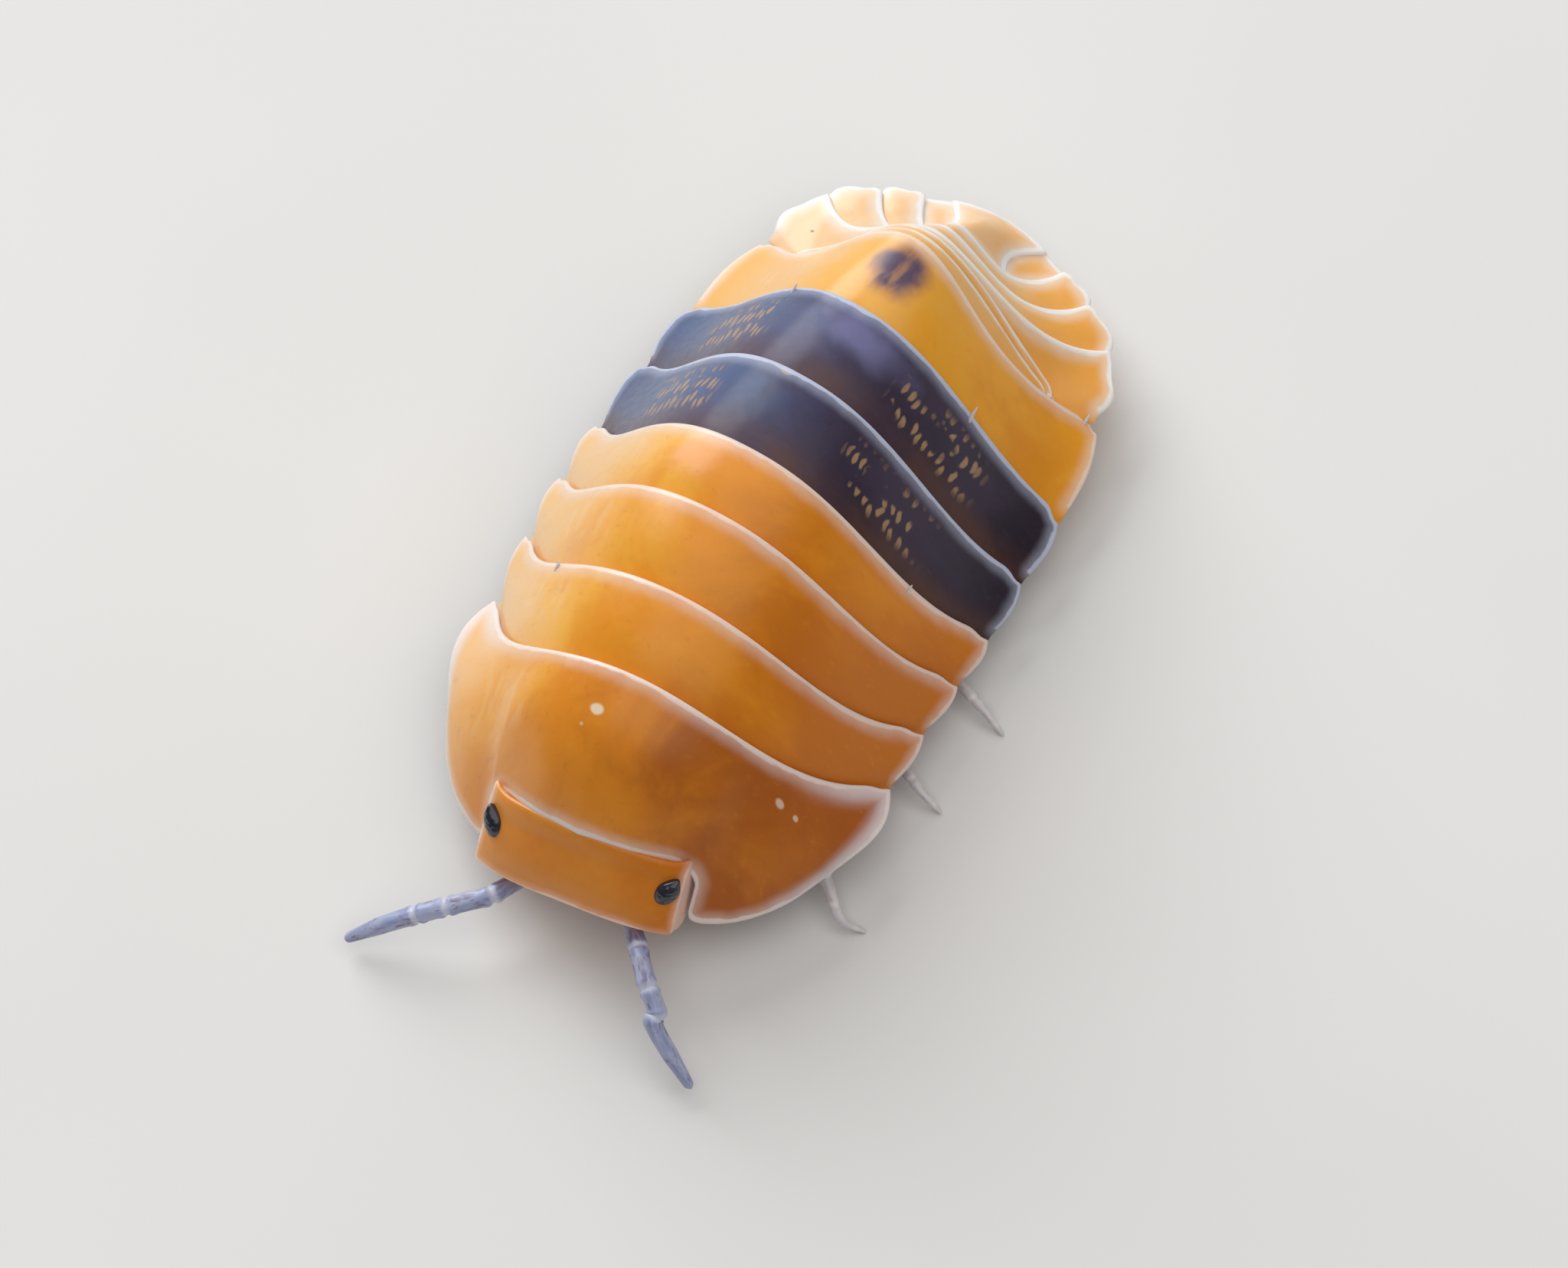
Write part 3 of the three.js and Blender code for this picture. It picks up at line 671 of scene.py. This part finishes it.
plateLooks = [orangeFirst, orange, orange, orange, dark, dark, orangeLast]
for k, material in enumerate(plateLooks):
    slot = "dark_plate" if material is dark else "orange_plate"
    addPiece(trunkPlate(k), material, slot, f"pereonite_{k + 1}")
print("trunk plates")

# Tail plates: three of the five end in a flap on each side.
flaps = {
    2: dict(frontQ=0.82, outer=(4.12, 12.97, 0.98), corner=(3.98, 13.85, 1.12), brim=0.14),
    3: dict(frontQ=1.0, outer=(3.6, 14.33, 1.12), corner=(2.98, 15.0, 1.12), brim=0.16),
    4: dict(frontQ=1.0, outer=(2.62, 15.05, 1.12), corner=(2.14, 15.46, 1.1), brim=0.14),
}
flapStart = 0.86
flapRows = 20
tailShape = dict(
    rows=16, columns=120, tuckRows=4, swell=0.02, brim=0.0, corner=0.1, tuck=0.22, tuckDrop=0.06,
    thick=0.12, brimThick=0.11,
)
tailStep = 0.12
tailFront = 0.74  # the share of the last trunk plate's width that the tail starts from


def tailPlate(k):
    def before(q):
        return tailPoint(k - 1, q) if k else trunkPoint(len(trunkRims) - 1, q * tailFront)

    def rim(q):
        return tailPoint(k, q)

    name = f"tail_plate_{k + 1}"
    flap = flaps.get(k)
    if not flap:
        return platePiece(
            name, lambda q: stepped(before, q, tailStep), rim,
            lambda q: inward(before, q), lambda q: inward(rim, q), tailShape,
        )
    frontQ = flap["frontQ"]

    def front(q):
        if q <= frontQ:
            return stepped(before, q / frontQ, tailStep)
        return mixPoint(stepped(before, 1, tailStep), flap["outer"], (q - frontQ) / (1 - frontQ))

    def rear(q):
        if q <= flapStart:
            return rim(q / flapStart)
        return mixPoint(rim(1), flap["corner"], (q - flapStart) / (1 - flapStart))

    shape = dict(tailShape, brim=flap["brim"], rows=flapRows)
    return platePiece(
        name, front, rear,
        lambda q: inward(before, min(1, q / frontQ)), lambda q: inward(rim, min(1, q / flapStart)), shape,
    )


for k in range(len(tailRims)):
    addPiece(tailPlate(k), golden if k in flaps else goldenFold, "tail_plate", f"pleonite_{k + 1}")

telson = dict(
    frontWide=0.98, waist=0.36, rearWide=1.14, rearY=15.87, rearZ=1.12, roundRear=0.2, ridge=0.12, droop=0.92,
    thick=0.16, grid=40,
)


def telsonPoint(u, v):
    wide = mix(telson["frontWide"], telson["rearWide"], v) - telson["waist"] * math.sin(math.pi * v)
    front = tailPoint(4, telson["frontWide"] * abs(u) / tailRims[4][0])
    y = mix(front[1], telson["rearY"] - telson["roundRear"] * u * u, v)
    ridge = telson["ridge"] * math.sin(math.pi * v) * (1 - u * u)
    return [wide * u, y, mix(front[2] - tailStep, telson["rearZ"], v ** telson["droop"]) + ridge]


endPlate = gridPlate("end_plate", telsonPoint, telson["grid"], telson["grid"], telson["thick"])
addPiece(endPlate, golden, "tail_plate", "telson")

uropod = dict(start=0.16, outerFrom=0.6, outerTo=0.99, innerDrop=0.1, outerDrop=0.16, back=0.05, thick=0.14)


# A uropod fills the gap between the end plate and the last tail plate.
def uropodPoint(side, u, v):
    inner = telsonPoint(1, mix(uropod["start"], 1, v))
    outer = tailPoint(4, mix(uropod["outerFrom"], uropod["outerTo"], v))
    inner[2] -= uropod["innerDrop"]
    outer[2] -= uropod["outerDrop"]
    outer[1] += uropod["back"]
    x, y, z = mixPoint(inner, outer, (u + 1) / 2)
    return (side * x, y, z)


for side, word in sides:
    foot = gridPlate(f"tail_foot_{word}", lambda u, v: uropodPoint(side, u, v), 24, 16, uropod["thick"])
    addPiece(foot, golden, "tail_plate", f"uropod_{word}")
print("tail")

# Head: rings across the width, each a closed wedge profile.
head = dict(
    half=2.2, rearY=-1.72, rearSideY=-1.38, rearZ=3.0, rearSideZ=2.42, frontY=-2.84, frontBow=0.3,
    frontZ=1.72, frontSideZ=1.4, ear=0.22, roundEnd=0.16, endSize=0.86, across=96, around=72,
)


def headProfile(x):
    s = min(1.0, abs(x) / head["half"])
    ear = head["ear"] * s ** 12
    rearY = mix(head["rearY"], head["rearSideY"], s ** 2) + ear
    rearZ = mix(head["rearZ"], head["rearSideZ"], s ** 2.4) + ear * 0.8
    frontY = head["frontY"] + head["frontBow"] * s ** 3
    frontZ = mix(head["frontZ"], head["frontSideZ"], s ** 2)
    return [
        (rearY, rearZ),
        (mix(rearY, frontY, 0.33) - 0.07, mix(rearZ, frontZ, 0.33) + 0.07),  # forehead
        (mix(rearY, frontY, 0.7) - 0.08, mix(rearZ, frontZ, 0.7) + 0.06),
        (frontY + 0.02, frontZ + 0.03),
        (frontY - 0.03, frontZ - 0.05),  # front edge
        (frontY + 0.1, frontZ - 0.16),
        (mix(-2.45, -2.36, s), mix(1.15, 1.2, s)),  # face
        (mix(-2.42, -2.3, s), mix(0.82, 1.0, s)),
        (-1.9, 0.78),  # throat
        (rearY + 0.1, 1.0),
    ]


def headPiece():
    rings = []
    for k in range(head["across"] + 1):
        x = -math.cos(math.pi * k / head["across"]) * head["half"]
        near = max(0.0, abs(x) - (head["half"] - head["roundEnd"])) / head["roundEnd"]
        shrink = mix(head["endSize"], 1, math.sqrt(max(0.0, 1 - near ** 2.6)))
        profile = headProfile(x)
        centre = [sum(values) / len(profile) for values in zip(*profile)]
        frontY, frontZ = profile[4]
        sideRim = (head["half"] - abs(x)) * 1.3
        ring = []
        for j in range(head["around"]):
            y, z = mixPoint(centre, closedCurve(profile, j / head["around"]), shrink)
            rim = min(math.hypot(y - frontY, z - frontZ), sideRim)
            ring.append((placeOnFloor(x, y, z), rim, (x, y, z)))
        rings.append(ring)
    return ringMesh("head_shell", rings)


addPiece(headPiece(), headShell, "orange_plate", "head")
print("head")

# Eyes: flattened drops in the head's upper corners, set with small round facets.
eye = dict(
    x=1.95, y=-1.97, z=2.2, along=(0.4, 0.64, 0.65), outward=(0.55, -0.6, 0.58),
    long=0.38, wide=0.24, deep=0.17, taper=0.5, rows=48, columns=64,
    facet=0.022, facetWide=0.075, facetRings=((0.36, 6), (0.68, 11)), facetJitter=0.12,
)


def eyeMaterial():
    s = Shader("eye facets")
    flat = s.attribute("flat")
    rim = s.attribute("rim")
    haze = s.noise(flat, "Vector", 6, 3)
    tone = s.colours(s.remap(haze, "Fac", 0.35, 0.7), (0.006, 0.006, 0.014), (0.018, 0.018, 0.045))
    tone = s.colours(s.remap(rim, "Fac", 0.3, 0.0, 0.0, 0.5), tone, (0.03, 0.02, 0.02))
    s.link(tone, 2, s.surface, "Base Color")
    s.plain(Roughness=0.2, Coat_Weight=0.5, Coat_Roughness=0.1)
    return s.material


def facetPlaces():
    places = [(0.0, 0.0)]
    for reach, count in eye["facetRings"]:
        for k in range(count):
            turn = 2 * math.pi * (k + random.uniform(-eye["facetJitter"], eye["facetJitter"])) / count
            places.append((reach * math.cos(turn), reach * math.sin(turn)))
    return places


def facetLift(a, b, places):
    lift = 0.0
    for pa, pb in places:
        gap = math.hypot((a - pa) * eye["long"], (b - pb) * eye["wide"]) / eye["facetWide"]
        lift = max(lift, 1 - gap * gap)
    return lift


def mirrored(side, point):
    return Vector((side * point[0], point[1], point[2]))


def eyePiece(side, word):
    along = mirrored(side, eye["along"]).normalized()
    outward = mirrored(side, eye["outward"])
    outward = (outward - along * outward.dot(along)).normalized()
    across = along.cross(outward)
    centre = mirrored(side, (eye["x"], eye["y"], eye["z"]))
    places = facetPlaces()
    rings = []
    for r in range(1, eye["rows"]):
        tilt = math.pi * r / eye["rows"]
        a = math.cos(tilt)
        narrow = 1 - eye["taper"] * max(0.0, a) ** 1.5
        ring = []
        for c in range(eye["columns"]):
            turn = 2 * math.pi * c / eye["columns"]
            b = math.sin(tilt) * math.cos(turn)
            o = math.sin(tilt) * math.sin(turn)
            lift = facetLift(a, b, places) if o > 0 else 0.0
            deep = eye["deep"] + eye["facet"] * lift
            p = centre + along * eye["long"] * a + across * eye["wide"] * narrow * b + outward * deep * o
            ring.append((placeOnFloor(*p), lift, p))
        rings.append(ring)
    return ringMesh(f"eye_{word}_facets", rings)


eyeGloss = eyeMaterial()
for side, word in sides:
    addPiece(eyePiece(side, word), eyeGloss, "eye", f"eye_{word}")
print("eyes")


# Limbs: round tubes along a path, swelling at each joint.
def limbMaterial(name, tones):
    s = Shader(name)
    flat = s.attribute("flat")
    rim = s.attribute("rim")
    cloud = s.noise(flat, "Vector", 1.1, 3, 0.5)
    tone = s.colours(s.remap(cloud, "Fac", 0.35, 0.65), tones["base"], tones["second"])
    streaks = s.strands(flat, (1.3, 2.6, 1.3), 4, 0.6, 0.4)
    tone = s.colours(s.remap(streaks, "Fac", 0.50, 0.66, 0, tones["streakShare"]), tone, tones["streak"])
    tone = s.colours(s.remap(rim, "Fac", 0.02, 0.11, 0.7, 0.0), tone, tones["joint"])
    s.link(tone, 2, s.surface, "Base Color")
    s.bump(((s.noise(flat, "Vector", 9, 3), 0.2, 0.00003),))
    s.plain(Roughness=0.36, Subsurface_Weight=0.3, Subsurface_Scale=0.0003, Coat_Weight=0.25)
    return s.material


feelerTones = dict(
    base=(0.26, 0.30, 0.48), second=(0.42, 0.45, 0.62), streak=(0.17, 0.12, 0.20), streakShare=0.8,
    joint=(0.66, 0.68, 0.78),
)
legTones = dict(
    base=(0.62, 0.60, 0.62), second=(0.74, 0.71, 0.70), streak=(0.42, 0.34, 0.36), streakShare=0.5,
    joint=(0.82, 0.79, 0.76),
)
jointShape = dict(swelling=0.1, swellAt=0.12, swellWide=0.08, pinch=0.16, pinchWide=0.04, noJoint=9.0)
limbEnd = dict(roundness=1.2, blunt=0.02)


def limbPiece(name, path, radii, joints, around=24, steps=110):
    centres = [Vector(openCurve(path, k / steps)) for k in range(steps + 1)]
    lengths = [0.0]
    for a, b in zip(centres, centres[1:]):
        lengths.append(lengths[-1] + (b - a).length)
    total = lengths[-1]
    wide = (centres[1] - centres[0]).normalized().cross(Vector((0, 0, 1))).normalized()
    rings = []
    for k, centre in enumerate(centres):
        ahead = (centres[min(steps, k + 1)] - centres[max(0, k - 1)]).normalized()
        wide = (wide - ahead * wide.dot(ahead)).normalized()
        high = wide.cross(ahead).normalized()
        share = lengths[k] / total
        station = share * (len(radii) - 1)
        low = min(len(radii) - 2, int(station))
        radius = mix(radii[low], radii[low + 1], station - low)
        near = min((abs(share - joint) * total for joint in joints), default=jointShape["noJoint"])
        swelling = math.exp(-((near - jointShape["swellAt"]) / jointShape["swellWide"]) ** 2)
        pinch = math.exp(-(near / jointShape["pinchWide"]) ** 2)
        radius *= 1 + jointShape["swelling"] * swelling - jointShape["pinch"] * pinch
        end = min(1.0, (1 - share) * total / (radius * limbEnd["roundness"]))
        radius *= math.sqrt(max(limbEnd["blunt"], 1 - (1 - end) ** 2))
        ring = []
        for j in range(around):
            turn = 2 * math.pi * j / around
            p = centre + wide * (radius * math.cos(turn)) + high * (radius * math.sin(turn))
            place = placeOnFloor(unleaned(p.x, p.y), p.y, max(p.z, -body["lift"]))
            ring.append((place, near, (math.cos(turn), share * total, math.sin(turn))))
        rings.append(ring)
    return ringMesh(name, rings)


feelers = {
    "antenna_left": [
        (1.5, -2.5, 0.85), (1.84, -2.95, 1.05), (2.34, -3.65, 1.2),
        (2.75, -4.11, 0.9), (2.83, -4.42, 0.72), (3.85, -5.15, -0.15),
    ],
    "antenna_right": [
        (-1.1, -2.5, 0.85), (-1.45, -3.1, 1.05), (-1.89, -3.41, 1.0),
        (-2.57, -3.83, 0.85), (-3.4, -4.25, 0.4), (-4.2, -4.68, -0.12),
    ],
}
feelerShape = dict(radii=(0.2, 0.2, 0.2, 0.2, 0.18, 0.1), joints=(0.17, 0.4, 0.56))
feelerSkin = limbMaterial("feeler lavender", feelerTones)
for node, path in feelers.items():
    addPiece(limbPiece(f"{node}_articles", path, **feelerShape), feelerSkin, "limb", node)

# Each leg's path. Its root and foot are x and y only, because all roots and all feet share a height.
legRootZ = 1.3
footZ = -0.48
legs = {
    "leg_left_1": [(2.2, 0.9), (3.5, 0.75, 0.8), (4.5, 0.5, 0.08), (5.2, -0.2, -0.1), (5.75, -0.12)],
    "leg_left_2": [(2.2, 2.6), (3.5, 3.1, 0.75), (4.6, 3.7, 0.02), (5.5, 3.35, -0.08), (5.96, 3.28)],
    "leg_left_3": [(2.2, 4.3), (3.4, 4.6, 0.75), (4.1, 4.8, 0.1), (4.5, 4.9)],
    "leg_left_4": [(2.2, 6.1), (3.5, 6.3, 0.75), (4.6, 6.25, 0.0), (5.6, 5.9, -0.08), (6.25, 5.7)],
    "leg_left_5": [(2.2, 8.0), (3.4, 8.3, 0.75), (4.1, 8.6, 0.1), (4.5, 8.8)],
    "leg_left_6": [(2.2, 9.8), (3.3, 10.2, 0.75), (4.0, 10.6, 0.1), (4.35, 10.9)],
    "leg_left_7": [(2.0, 11.4), (2.9, 11.9, 0.75), (3.5, 12.4, 0.1), (3.8, 12.8)],
    "leg_right_1": [(-2.2, 0.9), (-3.0, 0.8, 0.75), (-3.5, 0.7, 0.1), (-3.7, 0.6)],
    "leg_right_2": [(-2.2, 2.6), (-3.4, 2.7, 0.75), (-4.2, 2.8, 0.1), (-4.6, 2.9)],
    "leg_right_3": [(-2.2, 4.3), (-3.4, 4.6, 0.75), (-4.2, 4.9, 0.1), (-4.6, 5.1)],
    "leg_right_4": [(-2.2, 6.1), (-3.4, 6.2, 0.75), (-4.2, 6.3, 0.1), (-4.6, 6.4)],
    "leg_right_5": [(-2.2, 8.0), (-3.4, 8.4, 0.75), (-4.1, 8.8, 0.1), (-4.5, 9.1)],
    "leg_right_6": [(-2.2, 9.8), (-3.3, 10.1, 0.75), (-4.0, 10.5, 0.1), (-4.35, 10.7)],
    "leg_right_7": [(-2.0, 11.4), (-2.9, 12.0, 0.75), (-3.5, 12.5, 0.1), (-3.8, 12.9)],
}
legShape = dict(radii=(0.27, 0.25, 0.21, 0.15, 0.11, 0.05), joints=(0.2, 0.42, 0.6, 0.78, 0.93), steps=90)
legSkin = limbMaterial("leg grey", legTones)
for node, (root, *middle, foot) in legs.items():
    path = [(*root, legRootZ), *middle, (*foot, footZ)]
    addPiece(limbPiece(f"{node}_articles", path, **legShape), legSkin, "limb", node)
print("limbs")

# A few pale bristles on the rear margins: plate, share of its half width, length and lean.
bristles = (
    (5, 0.56, 0.3, 0.5),
    (5, -0.35, 0.2, 0.3),
    (3, 0.72, 0.16, 0.2),
    (1, -0.6, 0.16, 0.2),
    (6, 0.93, 0.2, 0.6),
)
bristleShape = dict(radii=(0.045, 0.035, 0.012), joints=(), around=10, steps=14)
bristleRoot = dict(ahead=0.12, sunk=0.05, outward=0.2)
for index, (k, u, long, tilt) in enumerate(bristles):
    x, y, z = trunkPoint(k, abs(u))
    x = math.copysign(x, u)
    root = (x, y - bristleRoot["ahead"], z - bristleRoot["sunk"])
    tip = (x + bristleRoot["outward"] * long, y + long * tilt, z + long)
    spread = lean["leftSpread"] if x > 0 else 1
    path = [(leaned(p[1]) + p[0] * spread, p[1], p[2]) for p in (root, mixPoint(root, tip, 0.5), tip)]
    addPiece(limbPiece(f"bristle_{index + 1}", path, **bristleShape), legSkin, "limb")

# Trunk under the plates: y, half width and top at each station.
trunkStations = [
    (-1.0, 1.3, 2.6),
    (-0.3, 1.8, 3.5),
    (0.8, 2.5, 4.3),
    (2.2, 2.9, 4.75),
    (4.2, 2.9, 5.15),
    (6.2, 2.8, 5.25),
    (8.2, 2.55, 5.0),
    (10.3, 2.2, 4.6),
    (12.0, 1.8, 4.2),
    (13.0, 1.4, 3.6),
    (13.8, 1.0, 2.8),
    (14.3, 0.6, 2.2),
]
belly = dict(rings=150, around=64, level=1.5, deep=0.2, fold=0.16, flatten=0.25, seamY=0.3, seamStep=1.75)


def undersidePiece():
    rings = []
    for k in range(belly["rings"] + 1):
        y, half, top = openCurve(trunkStations, k / belly["rings"])
        swelling = abs(math.sin(math.pi * (y - belly["seamY"]) / belly["seamStep"]))
        deep = belly["deep"] + belly["fold"] * swelling ** 0.5
        ring = []
        for j in range(belly["around"]):
            turn = 2 * math.pi * j / belly["around"]
            x = half * math.cos(turn)
            s = math.sin(turn)
            rise = (top - belly["level"]) * s if s > 0 else deep * s * (1 - belly["flatten"] * s * s)
            z = belly["level"] + rise
            ring.append((placeOnFloor(x, y, z), swelling, (x, y, z)))
        rings.append(ring)
    return ringMesh("underside_skin", rings)


paleTones = dict(
    base=(0.62, 0.50, 0.42), second=(0.47, 0.38, 0.38), vein=(0.28, 0.20, 0.24), veinShare=0.45,
    seam=(0.30, 0.19, 0.14), seamShare=0.8,
)


def paleMaterial(name, seams):
    s = Shader(name)
    flat = s.attribute("flat")
    cloud = s.noise(flat, "Vector", 1.1, 4, 0.6)
    tone = s.colours(s.remap(cloud, "Fac", 0.35, 0.7), paleTones["base"], paleTones["second"])
    veins = s.strands(flat, (2.6, 0.7, 1.0), 3, 0.6, 0.5)
    tone = s.colours(s.remap(veins, "Fac", 0.52, 0.66, 0, paleTones["veinShare"]), tone, paleTones["vein"])
    if seams:
        seam = s.remap(s.attribute("rim"), "Fac", 0.0, 0.3, paleTones["seamShare"], 0.0)
        tone = s.colours(seam, tone, paleTones["seam"])
    s.link(tone, 2, s.surface, "Base Color")
    s.bump(((s.noise(flat, "Vector", 7, 3), 0.2, 0.00005),))
    s.plain(Roughness=0.45, Subsurface_Weight=0.25, Subsurface_Scale=0.0005, Coat_Weight=0.2)
    return s.material


paleSkin = paleMaterial("pale underside", True)
gillSkin = paleMaterial("pale gill plates", False)
addPiece(undersidePiece(), paleSkin, "underside", "underside")

# Gill plates: five overlapping pairs under the tail. The first one stands for the CAD slab.
gills = dict(
    pairs=5, frontY=12.85, step=0.42, half=1.9, narrow=0.27, gap=0.04, long=0.75, roundRear=0.35,
    level=1.2, stepDown=0.03, rise=0.1, bow=0.02, thick=0.12,
)


def gillPoint(k, side, u, v):
    out = (u + 1) / 2
    across = mix(gills["gap"], gills["half"] - gills["narrow"] * k, out)
    y = gills["frontY"] + gills["step"] * k + gills["long"] * v * (1 - gills["roundRear"] * out ** 2)
    z = gills["level"] - gills["stepDown"] * k + gills["rise"] * v - gills["bow"] * across ** 2
    return (side * across, y, z)


for k in range(gills["pairs"]):
    for side, word in sides:
        name = f"gill_plate_{word}_{k + 1}"
        piece = gridPlate(name, lambda u, v: gillPoint(k, side, u, v), 14, 18, gills["thick"])
        nodes = ("pleopods",) if k == 0 and side > 0 else ()
        addPiece(piece, gillSkin, "underside", *nodes)

# Mouthparts: one low lump under the head, cleft into palps.
mouth = dict(
    rows=30, columns=28, frontY=-2.24, rearY=-1.46, frontHalf=0.5, rearHalf=0.88, blunt=0.03,
    low=0.34, frontRise=0.2, ripple=0.04, ripples=3, top=0.76, cleft=0.09, cleftWide=0.09,
    sideCleft=0.05, sideCleftX=0.42, sideCleftWide=0.06,
)


def mouthPiece():
    rings = []
    for r in range(mouth["rows"] + 1):
        v = r / mouth["rows"]
        y = mix(mouth["frontY"], mouth["rearY"], v)
        half = mix(mouth["frontHalf"], mouth["rearHalf"], smooth(0, 0.6, v))
        half *= math.sqrt(max(mouth["blunt"], 1 - (1 - min(1, v * 5)) ** 2))
        low = mouth["low"] + mouth["frontRise"] * (1 - v) ** 2
        low += mouth["ripple"] * math.cos(v * 2 * mouth["ripples"] * math.pi)
        ring = []
        for c in range(mouth["columns"]):
            turn = 2 * math.pi * c / mouth["columns"]
            x = half * math.cos(turn)
            z = mix(low, mouth["top"], (1 + math.sin(turn)) / 2)
            if math.sin(turn) < 0:
                sideX = abs(x) - mouth["sideCleftX"]
                z += mouth["cleft"] * math.exp(-(x / mouth["cleftWide"]) ** 2)
                z += mouth["sideCleft"] * math.exp(-(sideX / mouth["sideCleftWide"]) ** 2)
            ring.append((placeOnFloor(x, y, z), 2.0, (x, y, z)))
        rings.append(ring)
    return ringMesh("mouthpart_palps", rings)


addPiece(mouthPiece(), gillSkin, "underside", "mouthparts")
print("underside")

# Floor, camera and lights, in metres
floor = dict(half=0.6, segments=8, tone=(0.80, 0.78, 0.75), second=(0.77, 0.75, 0.72))


def floorPiece():
    bm = bmesh.new()
    bmesh.ops.create_grid(bm, x_segments=floor["segments"], y_segments=floor["segments"], size=floor["half"])
    mesh = bpy.data.meshes.new("studio_floor")
    bm.to_mesh(mesh)
    bm.free()
    obj = addObject("studio_floor", mesh)
    s = Shader("floor paper")
    cloud = s.noise(s.add("ShaderNodeTexCoord"), "Object", 40, 3)
    tone = s.colours(s.remap(cloud, "Fac", 0.3, 0.7), floor["tone"], floor["second"])
    s.link(tone, 2, s.surface, "Base Color")
    s.plain(Roughness=0.8)
    obj.data.materials.append(s.material)


floorPiece()

# The focal length and the frame's width are in pixels of the photograph.
view = dict(
    azimuth=40.05, elevation=65.25, roll=-6.84, distance=0.09991, focal=6200, frameWide=2048,
    target=(0.000869, -0.000392, 0.00219), sensor=36,
)


def viewAxes():
    azimuth, elevation, roll = (math.radians(view[key]) for key in ("azimuth", "elevation", "roll"))
    level = math.cos(elevation)
    back = Vector((math.sin(azimuth) * level, -math.cos(azimuth) * level, math.sin(elevation)))
    right = Vector((math.cos(azimuth), math.sin(azimuth), 0))
    up = back.cross(right)
    return (
        right * math.cos(roll) + up * math.sin(roll),
        up * math.cos(roll) - right * math.sin(roll),
        back,
    )


def addCamera():
    data = bpy.data.cameras.new("main camera")
    data.sensor_width = view["sensor"]
    data.lens = view["focal"] / view["frameWide"] * view["sensor"]
    data.clip_start = 0.005
    data.clip_end = 10
    obj = addObject("main camera", data)
    axes = viewAxes()
    obj.rotation_euler = Matrix(axes).transposed().to_euler()
    obj.location = Vector(view["target"]) + axes[2] * view["distance"]
    bpy.context.scene.camera = obj


# Both softboxes face the middle of the floor.
lights = {
    "key softbox": dict(place=(-0.22, 0.11, 0.17), size=(0.22, 0.24), power=0.78, tone=(0.93, 0.97, 1.0)),
    "top softbox": dict(place=(0.1, 0.0, 0.36), size=(0.5, 0.5), power=0.85, tone=(1.0, 0.98, 0.96)),
}
daylight = dict(tone=(0.9, 0.94, 1.0), strength=0.22)


def addLight(name, light):
    data = bpy.data.lights.new(name, "AREA")
    data.shape = "RECTANGLE"
    data.size, data.size_y = light["size"]
    data.energy = light["power"]
    data.color = light["tone"]
    obj = addObject(name, data)
    obj.location = light["place"]
    obj.rotation_euler = (-Vector(light["place"])).to_track_quat("-Z", "Y").to_euler()


addCamera()
for name, light in lights.items():
    addLight(name, light)

world = bpy.data.worlds.new("studio")
world.use_nodes = True
background = world.node_tree.nodes["Background"]
background.inputs["Color"].default_value = (*daylight["tone"], 1)
background.inputs["Strength"].default_value = daylight["strength"]
bpy.context.scene.world = world
bpy.context.scene.view_settings.view_transform = "Standard"
print("stage")
